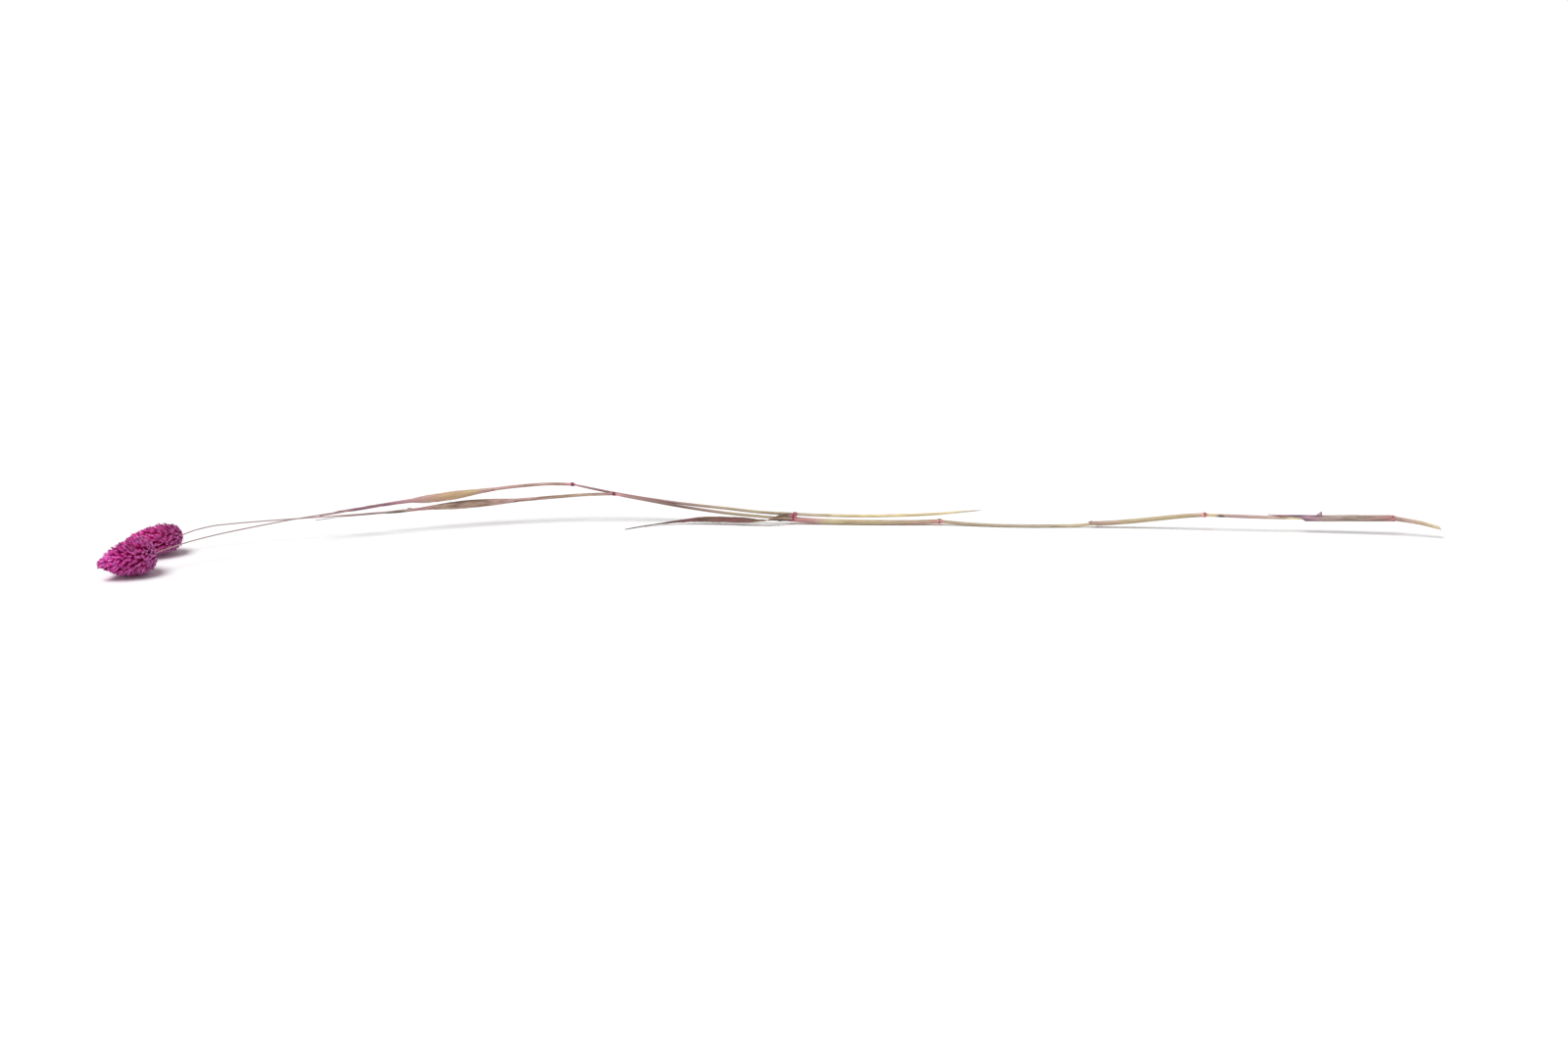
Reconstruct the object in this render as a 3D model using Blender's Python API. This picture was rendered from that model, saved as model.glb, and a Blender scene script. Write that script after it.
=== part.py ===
"""Dried canary grass, dyed magenta, lying on a surface.

Two culms lie along each other and the middle leaf of the main culm clasps them both.
Each culm ends in one dense ovoid head. The origin is under the middle of the piece, on
the surface. +Z is up, the heads point towards -X and the cut end towards +X.
Sizes are in millimetres and become metres where a mesh is made.
"""

import math

import bmesh
import bpy
import numpy as np
from mathutils import Vector

MM = 0.001

# Fit between pieces that grow round one another
FIT_GAP = 0.3

# The main culm, one run of points for each internode, from the cut end up to its head
STEM_REST_RADIUS = 0.88
CULM_SIDES = 8
STEM_REST_HEIGHT = STEM_REST_RADIUS * math.cos(math.pi / CULM_SIDES)
MAIN_INTERNODES = (
    ((343.5, 21.3, 5.6), (333.0, 24.0, 7.7), (319.5, 27.2, 9.1)),
    (
        (319.5, 27.2, 9.1),
        (301.0, 29.5, 8.4),
        (279.0, 31.6, 7.8),
        (258.0, 33.0, 7.8),
        (238.0, 34.3, 8.1),
        (222.0, 35.6, 8.4),
    ),
    (
        (222.0, 35.6, 8.4),
        (212.0, 36.8, 7.4),
        (197.5, 38.4, 5.4),
        (182.0, 39.8, 3.4),
        (163.5, 40.6, 1.8),
        (150.0, 40.6, STEM_REST_HEIGHT),
        (134.0, 40.4, STEM_REST_HEIGHT),
        (118.0, 41.0, STEM_REST_HEIGHT),
        (97.0, 43.4, 1.2),
        (83.5, 44.8, 2.1),
    ),
    (
        (83.5, 44.8, 2.1),
        (69.0, 45.0, 1.5),
        (51.0, 45.2, 1.4),
        (32.5, 45.8, 1.5),
        (17.0, 46.4, 1.9),
        (5.5, 46.8, 2.7),
        (-9.0, 47.2, 3.8),
        (-29.5, 48.4, 5.6),
        (-50.5, 49.6, 8.4),
        (-71.0, 50.6, 12.0),
        (-88.5, 51.2, 15.3),
    ),
    (
        (-88.5, 51.2, 15.3),
        (-102.0, 51.4, 14.9),
        (-118.0, 50.4, 14.0),
        (-133.0, 48.5, 13.2),
        (-154.0, 44.8, 12.4),
        (-169.0, 41.2, 12.2),
        (-184.0, 37.0, 12.0),
        (-198.0, 32.8, 11.7),
        (-226.0, 25.7, 11.3),
        (-253.5, 18.9, 11.3),
        (-279.0, 12.1, 11.3),
        (-291.0, 7.9, 11.3),
        (-302.0, 3.0, 10.2),
        (-308.6, -0.6, 8.6),
    ),
)
MAIN_GIRTH = (
    (343.5, 0.72),
    (334.0, 0.88),
    (240.0, 0.90),
    (226.0, 0.86),
    (218.0, 0.68),
    (168.0, 0.72),
    (150.0, STEM_REST_RADIUS),
    (118.0, STEM_REST_RADIUS),
    (88.0, 0.84),
    (79.0, 0.74),
    (0.0, 0.74),
    (-84.0, 0.78),
    (-90.5, 0.44),
    (-140.0, 0.40),
    (-308.6, 0.36),
)
MAIN_JOINT_SWELL = (0.85, 0.60, 0.45, 0.52)
CUT_SLANT = 1.1
LUMEN_RADIUS = 0.34
LUMEN_DEPTH = 9.0

# The side culm, from its pale broken tip, through the clasp, up to its head
SIDE_INTERNODES = (
    (
        (105.4, 43.8, 8.5),
        (97.0, 43.9, 7.8),
        (79.0, 44.4, 6.1),
        (57.5, 45.3, 5.0),
        (37.5, 46.2, 4.6),
        (22.0, 46.8, 4.8),
        (5.5, 46.9, 5.5),
        (-9.0, 47.0, 6.3),
        (-29.5, 49.0, 8.0),
        (-50.5, 51.3, 9.7),
        (-71.0, 52.9, 12.2),
        (-88.5, 53.6, 15.1),
        (-98.0, 53.2, 17.2),
        (-110.5, 52.2, 20.3),
    ),
    (
        (-110.5, 52.2, 20.3),
        (-123.0, 51.2, 20.8),
        (-136.0, 49.3, 20.4),
        (-154.0, 46.0, 19.1),
        (-169.0, 42.0, 17.7),
        (-184.0, 37.8, 16.6),
        (-198.0, 33.3, 16.2),
        (-213.5, 27.7, 15.3),
        (-231.0, 19.6, 14.6),
        (-252.0, 8.0, 14.4),
        (-270.5, -3.4, 13.9),
        (-287.0, -14.2, 13.3),
        (-298.0, -21.8, 12.5),
        (-304.0, -26.0, 11.8),
        (-310.5, -30.5, 10.7),
        (-316.3, -34.5, 9.5),
    ),
)
SIDE_GIRTH = (
    (105.4, 0.22),
    (100.0, 0.45),
    (88.0, 0.70),
    (40.0, 0.84),
    (-40.0, 0.74),
    (-104.0, 0.60),
    (-111.5, 0.37),
    (-316.3, 0.36),
)
SIDE_JOINT_SWELL = (0.60,)
JOINT_HALF_LENGTH = 1.15
JOINT_STATIONS = (-3.2, -1.7, -0.85, 0.0, 0.85, 1.7, 3.2)
STATION_STEP = 9.0

# Heads: where the base and the tip of the axis are, and the radius over the spikelet tips
MAIN_HEAD_TIP = (-338.2, -22.6, 8.1)
MAIN_HEAD_RADIUS = 8.3
SIDE_HEAD_TIP = (-344.3, -53.6, 9.3)
SIDE_HEAD_RADIUS = 9.7
HEAD_BLUNTNESS = 0.42
HEAD_TAPER = 0.70
SPIKELET_COUNT = 122
SPIKELET_LENGTH = 7.6
SPIKELET_WIDTH = 2.0
SPIKELET_DEPTH = 1.9
SPIKELET_KEEL_SHARE = 0.7
SPIKELET_OUTLINE = ((0.0, 0.42), (0.50, 1.0), (0.80, 0.58))

# Along a head, in shares of its length: where the first spikelet tip is and between which
# places the roots are. Across it: how deep a root sinks and how near the axis it may be
FIRST_TIP_PLACE = 0.085
LAST_TIP_PLACE = 0.985
FIRST_ROOT_PLACE = 0.05
LAST_ROOT_PLACE = 0.74
SPIKELET_SPREAD = 0.12
SPIKELET_ROOT_SINK = 1.0
SPIKELET_ROOT_LEAST = 0.5
SPIKELET_LEAN_AT_TIP = 7.0
SPIKELET_LEAN_AT_BASE = 58.0
SPIKELET_LEAN_CURVE = 1.5
SPIKELET_TURN_JITTER = 0.14
SPIKELET_LEAN_JITTER = 0.06
SPIKELET_REACH_JITTER = 0.03

# The dense middle of a head, as shares of the head's outline and of its length
CORE_SHARE = 0.68
CORE_FIRST_PLACE = 0.004
CORE_LAST_PLACE = 0.74
CORE_POINT_PLACE = 0.82
CORE_CROWDING = 1.4
CORE_RINGS = 7
CORE_SIDES = 9
SOCKET_DEPTH = 5.0
SOCKET_MOUTH = 3.0
SOCKET_FLARE = 0.5
GOLDEN_ANGLE = math.pi * (3.0 - math.sqrt(5.0))

# Leaf walls: a rolled sheath is thin, an open blade is thicker so that it holds together
SHEATH_WALL = 0.26
BLADE_WALL = 0.60
SHEATH_ROLL = 330.0
LEAF_LEAST_STEP = 1.6
LEAF_SPLITS = 8

# A sheath: where it starts and ends along X, the clock angle of its midrib round the
# culm (0 is up, 90 is away from the viewer, 180 is down) and its mid-wall radius.
# A blade's station: place along X, clock angle of the midrib, reach from the culm's
# axis to the midrib, width, roll of the cross-section, share of the width that the roll
# is spread over, extra turn of the face, wall
MAIN_FLAG_SHEATH = (-91.0, -138.0, -120.0, 0.78)
MAIN_FLAG_BLADE = (
    (-143.0, -140.0, 0.95, 5.2, 290.0, 1.00, 0.0, 0.32),
    (-149.0, -180.0, 1.25, 6.2, 190.0, 0.70, 0.0, 0.50),
    (-158.0, -200.0, 1.35, 7.0, 148.0, 0.40, 0.0, BLADE_WALL),
    (-169.0, -204.0, 1.35, 6.8, 148.0, 0.35, 0.0, BLADE_WALL),
    (-178.0, -196.0, 1.25, 5.2, 150.0, 0.40, 0.0, BLADE_WALL),
    (-184.0, -162.0, 1.24, 3.2, 150.0, 0.60, 0.0, BLADE_WALL),
    (-187.0, -130.0, 1.20, 2.2, 110.0, 0.80, 0.0, BLADE_WALL),
    (-190.5, -100.0, 1.12, 1.7, 80.0, 1.00, 0.0, 0.55),
    (-194.5, -110.0, 1.08, 2.0, 100.0, 1.00, 0.0, 0.55),
    (-199.0, -150.0, 1.20, 2.9, 120.0, 1.00, 0.0, BLADE_WALL),
    (-204.0, -160.0, 1.20, 2.3, 100.0, 1.00, 0.0, BLADE_WALL),
    (-209.0, -195.0, 1.15, 1.4, 70.0, 1.00, 0.0, BLADE_WALL),
    (-216.0, -235.0, 1.10, 1.0, 50.0, 1.00, 0.0, BLADE_WALL),
    (-228.0, -240.0, 1.10, 0.9, 40.0, 1.00, 0.0, BLADE_WALL),
    (-236.0, -215.0, 1.20, 0.8, 20.0, 1.00, 0.0, 0.55),
    (-242.5, -185.0, 1.70, 0.5, 0.0, 1.00, 0.0, 0.50),
)
SIDE_FLAG_SHEATH = (-113.2, -148.0, -95.0, 0.71)
SIDE_FLAG_BLADE = (
    (-156.0, -86.0, 0.98, 4.6, 270.0, 1.00, 0.0, 0.30),
    (-165.0, -80.0, 1.25, 3.6, 140.0, 1.00, 0.0, 0.50),
    (-175.0, -77.0, 1.42, 3.9, 85.0, 1.00, 0.0, BLADE_WALL),
    (-182.0, -75.0, 1.42, 3.7, 85.0, 1.00, 0.0, BLADE_WALL),
    (-191.0, -72.0, 1.35, 3.0, 100.0, 1.00, 0.0, BLADE_WALL),
    (-199.0, -64.0, 1.22, 3.0, 140.0, 1.00, 0.0, 0.50),
    (-205.0, -40.0, 1.12, 4.0, 205.0, 1.00, 0.0, 0.44),
    (-209.0, -5.0, 1.10, 4.1, 212.0, 1.00, 0.0, 0.44),
    (-213.0, 35.0, 1.08, 4.0, 212.0, 1.00, 0.0, 0.44),
    (-217.0, 75.0, 1.06, 3.7, 200.0, 1.00, 0.0, 0.44),
    (-221.0, 115.0, 1.04, 3.2, 180.0, 1.00, 0.0, 0.46),
    (-225.0, 150.0, 1.04, 2.4, 135.0, 1.00, 0.0, 0.50),
    (-230.0, 180.0, 1.10, 1.5, 80.0, 1.00, 0.0, 0.55),
    (-235.0, 200.0, 1.35, 0.9, 30.0, 1.00, 0.0, 0.55),
    (-239.5, 210.0, 1.90, 0.5, 0.0, 1.00, 0.0, 0.50),
)
MIDDLE_SHEATH = (81.3, 6.0, -100.0, 1.16)
# The middle blade leaves the culm: place of the midrib, width, roll, clock angle that
# its upper side looks to, wall
MIDDLE_BLADE = (
    ((6.2, 45.35, 4.4), 4.8, 44.0, 88.0, 0.46),
    ((2.0, 44.8, 4.2), 4.7, 44.0, 80.0, 0.50),
    ((-2.0, 43.9, 3.7), 3.8, 52.0, 64.0, BLADE_WALL),
    ((-6.0, 43.5, 3.1), 2.6, 60.0, 30.0, BLADE_WALL),
    ((-10.5, 43.7, 2.7), 2.0, 50.0, -12.0, BLADE_WALL),
    ((-20.0, 44.6, 2.7), 2.7, 45.0, -45.0, BLADE_WALL),
    ((-30.0, 45.6, 2.8), 2.8, 40.0, -50.0, BLADE_WALL),
    ((-42.0, 46.2, 2.7), 2.4, 35.0, -50.0, BLADE_WALL),
    ((-54.0, 45.0, 2.0), 1.8, 30.0, -45.0, BLADE_WALL),
    ((-64.0, 42.8, 1.4), 1.1, 20.0, -30.0, BLADE_WALL),
    ((-74.0, 39.4, 0.9), 0.8, 0.0, -10.0, BLADE_WALL),
    ((-82.0, 36.0, 0.4), 0.5, 0.0, 0.0, 0.50),
)
MIDDLE_BLADE_RINGS = 22
# The collar band leans: its upper side is this much further along X for each step up
CLASP_FROM = 7.6
CLASP_TO = 4.0
CLASP_LEAN = 0.8
CLASP_WALL = 0.34
CLASP_SIDES = 16

# The two sheaths that have lost their blades: torn ends narrow and open
LOWER_SHEATH = (219.8, 168.0, 20.0, 1.06)
LOWER_TEAR = (
    (165.7, 14.0, 1.22, 5.4, 255.0, 1.0, 0.0, 0.30),
    (164.3, 11.0, 1.26, 3.6, 180.0, 1.0, 0.0, 0.35),
    (162.8, 8.0, 1.35, 2.0, 90.0, 1.0, 0.0, 0.40),
)
BASE_SHEATH = (317.2, 278.0, -10.0, 1.45)
BASE_TEAR = (
    (275.5, -8.0, 1.45, 7.8, 308.0, 1.0, 0.0, 0.30),
    (273.2, -4.0, 1.45, 5.6, 222.0, 1.0, 0.0, 0.36),
    (270.8, -2.0, 1.42, 3.4, 138.0, 1.0, 0.0, 0.42),
    (266.0, 0.0, 1.38, 2.4, 98.0, 1.0, 0.0, 0.46),
    (260.0, 1.0, 1.35, 1.6, 66.0, 1.0, 0.0, 0.50),
    (255.5, 2.0, 1.42, 0.8, 0.0, 1.0, 0.0, 0.50),
)
# The barb on its top, from its foot up: place along X, rise, length along X
BARB_WALL = 0.6
BARB_OUTLINE = ((281.8, 0.0, 3.4), (282.2, 0.9, 2.4), (282.7, 1.7, 1.2), (283.0, 2.3, 0.5))

SURFACE_COLOURS = {
    "straw": ((0.46, 0.37, 0.25, 1.0), 0.62),
    "pale_straw": ((0.60, 0.50, 0.32, 1.0), 0.60),
    "dyed_leaf": ((0.38, 0.24, 0.22, 1.0), 0.70),
    "brown_leaf": ((0.16, 0.07, 0.07, 1.0), 0.72),
    "magenta_head": ((0.40, 0.03, 0.20, 1.0), 0.78),
    "deep_magenta_head": ((0.34, 0.02, 0.17, 1.0), 0.78),
}


def clear_objects():
    """Remove whatever the scene holds."""
    for old in list(bpy.data.objects):
        bpy.data.objects.remove(old, do_unlink=True)


def surface(name):
    """A material with the colour and roughness of one surface."""
    known = bpy.data.materials.get(name)
    if known:
        return known
    colour, roughness = SURFACE_COLOURS[name]
    material = bpy.data.materials.new(name)
    material.use_nodes = True
    shader = material.node_tree.nodes["Principled BSDF"]
    shader.inputs["Base Color"].default_value = colour
    shader.inputs["Roughness"].default_value = roughness
    shader.inputs["Metallic"].default_value = 0.0
    return material


def add_object(name, vertices, faces, look=None):
    """One mesh object from points in millimetres, with its faces pointing out."""
    shape = bmesh.new()
    corners = [shape.verts.new(Vector(point) * MM) for point in vertices]
    for face in faces:
        shape.faces.new([corners[index] for index in face])
    bmesh.ops.recalc_face_normals(shape, faces=shape.faces)
    mesh = bpy.data.meshes.new(name)
    shape.to_mesh(mesh)
    shape.free()
    if look:
        mesh.materials.append(surface(look))
    piece = bpy.data.objects.new(name, mesh)
    bpy.context.collection.objects.link(piece)
    return piece


def smooth_between(knots, values, wanted):
    """A smooth curve through values at rising knots that never swings past them."""
    knots = np.asarray(knots, float)
    values = np.asarray(values, float)
    wanted = np.asarray(wanted, float)
    gaps = np.diff(knots)[:, None]
    rise = np.diff(values, axis=0) / gaps
    slopes = np.zeros_like(values)
    slopes[0] = rise[0]
    slopes[-1] = rise[-1]
    same_way = rise[:-1] * rise[1:] > 0
    safe = np.where(same_way, rise[:-1] + rise[1:], 1.0)
    slopes[1:-1] = np.where(same_way, 2.0 * rise[:-1] * rise[1:] / safe, 0.0)
    cell = np.clip(np.searchsorted(knots, wanted, side="right") - 1, 0, len(gaps) - 1)
    width = gaps[cell]
    t = (wanted - knots[cell])[:, None] / width
    return (
        (2 * t**3 - 3 * t**2 + 1) * values[cell]
        + (t**3 - 2 * t**2 + t) * width * slopes[cell]
        + (3 * t**2 - 2 * t**3) * values[cell + 1]
        + (t**3 - t**2) * width * slopes[cell + 1]
    )


def unit(vectors):
    """Vectors of length one."""
    vectors = np.asarray(vectors, float)
    return vectors / np.linalg.norm(vectors, axis=-1, keepdims=True)


def frames_along(points):
    """Tangent, upward and sideways direction at each point of a line."""
    tangents = unit(np.gradient(points, axis=0))
    sideways = unit(np.cross(tangents, (0.0, 0.0, 1.0)))
    upward = np.cross(sideways, tangents)
    return tangents, upward, sideways


def on_clock(upward, sideways, degrees):
    """Direction at a clock angle round a line: 0 is up and 90 is sideways."""
    turn = np.radians(degrees)[..., None]
    return np.cos(turn) * upward + np.sin(turn) * sideways


class Culm:
    """The centre line of a culm, bent at its joints, and its radius."""

    def __init__(self, internodes, girth, swells, head_tip):
        fine = []
        for internode in internodes:
            run = np.array(internode)
            along = -run[:, :1]
            count = max(2, round(float(along[-1, 0] - along[0, 0])) + 1)
            wanted = np.linspace(along[0, 0], along[-1, 0], count)
            fine.append(smooth_between(along[:, 0], run, wanted))
        self.line = np.vstack([fine[0]] + [run[1:] for run in fine[1:]])
        self.joints = [internode[-1][0] for internode in internodes[:-1]]
        self.girth = girth
        self.swells = swells
        self.head_base = self.line[-1]
        self.head_axis = unit(np.array(head_tip) - self.head_base)
        self.tangents, self.upward, self.sideways = frames_along(self.line)

    def at(self, stations, what=None):
        """Values of the line, or of one of its frame vectors, at X stations."""
        values = self.line if what is None else what
        stations = np.atleast_1d(stations)
        columns = [np.interp(-stations, -self.line[:, 0], column) for column in values.T]
        return np.stack(columns, axis=1)

    def frame(self, stations):
        """Tangent, upward and sideways direction at X stations."""
        tangents = unit(self.at(stations, self.tangents))
        sideways = unit(np.cross(tangents, (0.0, 0.0, 1.0)))
        return tangents, np.cross(sideways, tangents), sideways

    def radius(self, stations):
        """Radius at X stations: the girth, and a swelling round each joint."""
        knots = np.array(self.girth)[::-1]
        radius = np.interp(stations, knots[:, 0], knots[:, 1])
        for joint, swell in zip(self.joints, self.swells):
            radius = radius + swell * np.exp(-(((stations - joint) / JOINT_HALF_LENGTH) ** 2))
        return radius

    def stations(self):
        """X stations for the rings: even steps, and close ones round each joint."""
        first = self.line[0, 0]
        last = self.line[-1, 0]
        chosen = list(np.linspace(first, last, round((first - last) / STATION_STEP) + 1))
        for joint in self.joints:
            reach = JOINT_STATIONS[-1] + 1.5
            chosen = [x for x in chosen if abs(x - joint) > reach]
            chosen += [joint + offset for offset in JOINT_STATIONS]
        return np.array(sorted(chosen, reverse=True))


MAIN_CULM = Culm(MAIN_INTERNODES, MAIN_GIRTH, MAIN_JOINT_SWELL, MAIN_HEAD_TIP)
SIDE_CULM = Culm(SIDE_INTERNODES, SIDE_GIRTH, SIDE_JOINT_SWELL, SIDE_HEAD_TIP)


def loft(rings):
    """Vertices and triangles of a closed body through rings of equal point count.

    The last ring may be a single point, where the body ends in a tip.
    """
    rings = [np.atleast_2d(np.asarray(ring, float)) for ring in rings]
    sides = len(rings[0])
    pointed = len(rings[-1]) == 1
    full = rings[:-1] if pointed else rings
    faces = []
    for ring in range(len(full) - 1):
        for k in range(sides):
            a = ring * sides + k
            b = ring * sides + (k + 1) % sides
            faces.append((a, b, b + sides))
            faces.append((a, b + sides, a + sides))
    faces += cap_triangles(0, sides)
    last = (len(full) - 1) * sides
    if pointed:
        faces += [(last + k, last + (k + 1) % sides, last + sides) for k in range(sides)]
    else:
        faces += [face[::-1] for face in cap_triangles(last, sides)]
    return np.vstack(rings), faces


def cap_triangles(start, sides):
    """A fan over one ring of points."""
    return [(start, start + k + 1, start + k) for k in range(1, sides - 1)]


def ring_round(centre, upward, sideways, radius):
    """One ring of a culm, with a flat at its underside."""
    turns = (np.arange(CULM_SIDES) + 0.5) * 2.0 * math.pi / CULM_SIDES
    spokes = np.cos(turns)[:, None] * upward + np.sin(turns)[:, None] * sideways
    return centre + radius * spokes


def culm_rings(culm):
    """Rings of a culm from its lower end into the socket of its head."""
    stations = culm.stations()
    centres = culm.at(stations)
    _, upward, sideways = culm.frame(stations)
    radii = culm.radius(stations)
    rings = [ring_round(*row) for row in zip(centres, upward, sideways, radii)]
    seat = culm.head_base + culm.head_axis * (SOCKET_DEPTH - FIT_GAP)
    side = unit(np.cross(culm.head_axis, (0.0, 0.0, 1.0)))
    rings.append(ring_round(seat, np.cross(side, culm.head_axis), side, radii[-1]))
    return rings


def build_main_stem():
    """The main culm, cut on a slant, with the blind end of its lumen."""
    rings = culm_rings(MAIN_CULM)
    start = MAIN_CULM.line[0]
    tangents, upward, sideways = MAIN_CULM.frame(np.array([start[0], start[0] - LUMEN_DEPTH]))
    rim = rings[0]
    height = (rim - start) @ upward[0]
    rings[0] = rim + np.outer(height * CUT_SLANT, tangents[0])
    mouth = ring_round(start, upward[0], sideways[0], LUMEN_RADIUS)
    mouth = mouth + np.outer((mouth - start) @ upward[0] * CUT_SLANT, tangents[0])
    deep = MAIN_CULM.at(np.array([start[0] - LUMEN_DEPTH]))[0]
    floor = ring_round(deep, upward[1], sideways[1], LUMEN_RADIUS)
    return add_object("main_stem", *loft([floor, mouth] + rings), "straw")


def build_side_stem():
    """The side culm, drawn out to a broken tip."""
    return add_object("side_stem", *loft(culm_rings(SIDE_CULM)), "pale_straw")


def section_points(width, roll, crease):
    """Offsets and slopes across a leaf whose cross-section is curled.

    The slope turns evenly over the middle share of the width that crease gives, and
    the rest runs straight on. Returns the way along the leaf's width, the rise towards
    its upper side and the slope's angle at each point.
    """
    across = np.linspace(-0.5, 0.5, LEAF_SPLITS + 1) * width
    steepest = math.radians(max(roll, 0.01)) / 2.0
    bend = crease * width / 2.0
    curvature = steepest / bend
    inside = np.clip(across, -bend, bend)
    outside = across - inside
    angle = inside * curvature
    sideways = np.sin(angle) / curvature + outside * math.cos(steepest)
    rise = (1.0 - np.cos(angle)) / curvature + np.abs(outside) * math.sin(steepest)
    return sideways, rise, angle


def leaf_solid(spine, faces_to, widths, rolls, creases, walls):
    """Vertices and triangles of a curled strip of leaf with a wall on its spine.

    Both faces are split along the same diagonals, so that they never cross.
    """
    tangents, upward, sideways = frames_along(spine)
    normals = on_clock(upward, sideways, faces_to)
    across = np.cross(tangents, normals)
    outer = []
    inner = []
    for row in range(len(spine)):
        side, rise, angle = section_points(widths[row], rolls[row], creases[row])
        middle = spine[row] + np.outer(side, across[row]) + np.outer(rise, normals[row])
        facing = np.outer(np.cos(angle), normals[row]) - np.outer(np.sin(angle), across[row])
        outer.append(middle - facing * walls[row] / 2.0)
        inner.append(middle + facing * walls[row] / 2.0)
    count = LEAF_SPLITS + 1
    rows = len(spine)
    half = rows * count
    vertices = np.vstack(outer + inner)
    faces = []
    for row in range(rows - 1):
        for k in range(count - 1):
            a = row * count + k
            c = a + count
            faces += [(a, a + 1, c + 1), (a, c + 1, c)]
            faces += [(half + a, half + c + 1, half + a + 1), (half + a, half + c, half + c + 1)]
        for a, turn in ((row * count, 1), (row * count + count - 1, -1)):
            edge = [(a, a + count, half + a + count), (a, half + a + count, half + a)]
            faces += [face[::turn] for face in edge]
    for first, turn in ((0, 1), ((rows - 1) * count, -1)):
        for k in range(count - 1):
            a = first + k
            end = [(a, half + a, half + a + 1), (a, half + a + 1, a + 1)]
            faces += [face[::turn] for face in end]
    return vertices, faces


def sheath_stations(sheath):
    """Leaf stations of a rolled sheath: start, end, clock angle and mid-wall reach."""
    start, end, clock, reach = sheath
    width = reach * math.radians(SHEATH_ROLL)
    return [(x, clock, reach, width, SHEATH_ROLL, 1.0, 0.0, SHEATH_WALL) for x in (start, end)]


def leaf_on_culm(culm, stations):
    """A leaf that follows a culm, from its stations along the culm.

    Between its stations it bends where the culm bends, so that the gap to it stays even.
    """
    knots = np.array(stations)
    along = -knots[:, 0]
    bends = [x for x in -culm.stations() if np.abs(along - x).min() > LEAF_LEAST_STEP]
    bends = [x for x in bends if along[0] < x < along[-1]]
    rows = smooth_between(along, knots, np.sort(np.concatenate([along, bends])))
    x, clock, reach, width, roll, crease, face, wall = rows.T
    _, upward, sideways = culm.frame(x)
    spine = culm.at(x) + reach[:, None] * on_clock(upward, sideways, clock)
    return leaf_solid(spine, clock + 180.0 + face, width, roll, crease, wall)


def unite(name, pieces, look):
    """One closed body from overlapping pieces, joined by a Boolean on a collection."""
    first = pieces[0]
    rest = bpy.data.collections.new(name + "_repeats")
    bpy.context.scene.collection.children.link(rest)
    for piece in pieces[1:]:
        bpy.context.collection.objects.unlink(piece)
        rest.objects.link(piece)
    joint = first.modifiers.new("union", "BOOLEAN")
    joint.operation = "UNION"
    joint.operand_type = "COLLECTION"
    joint.collection = rest
    joint.solver = "EXACT"
    apply_modifiers(first)
    for piece in list(rest.objects):
        bpy.data.objects.remove(piece, do_unlink=True)
    bpy.data.collections.remove(rest)
    first.name = name
    first.data.name = name
    first.data.materials.clear()
    first.data.materials.append(surface(look))
    return first


def apply_modifiers(piece):
    """Replace a piece's mesh by the one that its modifiers make."""
    graph = bpy.context.evaluated_depsgraph_get()
    made = bpy.data.meshes.new_from_object(piece.evaluated_get(graph))
    piece.modifiers.clear()
    piece.data = made


def fill_pockets(piece):
    """Remove the shells of closed pockets, so that the piece is solid inside."""
    shape = bmesh.new()
    shape.from_mesh(piece.data)
    unseen = set(shape.verts)
    shells = []
    while unseen:
        shell = [unseen.pop()]
        for corner in shell:
            for edge in corner.link_edges:
                other = edge.other_vert(corner)
                if other in unseen:
                    unseen.remove(other)
                    shell.append(other)
        shells.append(shell)
    shells.sort(key=len)
    pockets = [corner for shell in shells[:-1] for corner in shell]
    bmesh.ops.delete(shape, geom=pockets, context="VERTS")
    shape.to_mesh(piece.data)
    shape.free()


def cut_away(piece, cutter):
    """Subtract a cutter from a piece and remove the cutter."""
    cut = piece.modifiers.new("cut", "BOOLEAN")
    cut.operation = "DIFFERENCE"
    cut.object = cutter
    apply_modifiers(piece)
    bpy.data.objects.remove(cutter, do_unlink=True)


def head_radius(share):
    """The outline over the spikelet tips, as a share of the head's largest radius."""
    fullest = HEAD_BLUNTNESS / (HEAD_BLUNTNESS + HEAD_TAPER)
    top = fullest**HEAD_BLUNTNESS * (1.0 - fullest) ** HEAD_TAPER
    share = np.clip(share, 0.0, 1.0)
    return share**HEAD_BLUNTNESS * (1.0 - share) ** HEAD_TAPER / top


def core_rings(length, radius):
    """Rings of the dense middle of a head along +X, from its base to its tip."""
    turns = np.arange(CORE_SIDES) * 2.0 * math.pi / CORE_SIDES
    spokes = np.stack([np.zeros(CORE_SIDES), np.cos(turns), np.sin(turns)], axis=1)
    rings = []
    for step in np.linspace(0.0, 1.0, CORE_RINGS):
        share = CORE_FIRST_PLACE + (CORE_LAST_PLACE - CORE_FIRST_PLACE) * step**CORE_CROWDING
        girth = radius * CORE_SHARE * float(head_radius(share))
        rings.append(np.array([share * length, 0.0, 0.0]) + girth * spokes)
    rings.append(np.array([CORE_POINT_PLACE * length, 0.0, 0.0]))
    return rings


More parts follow.
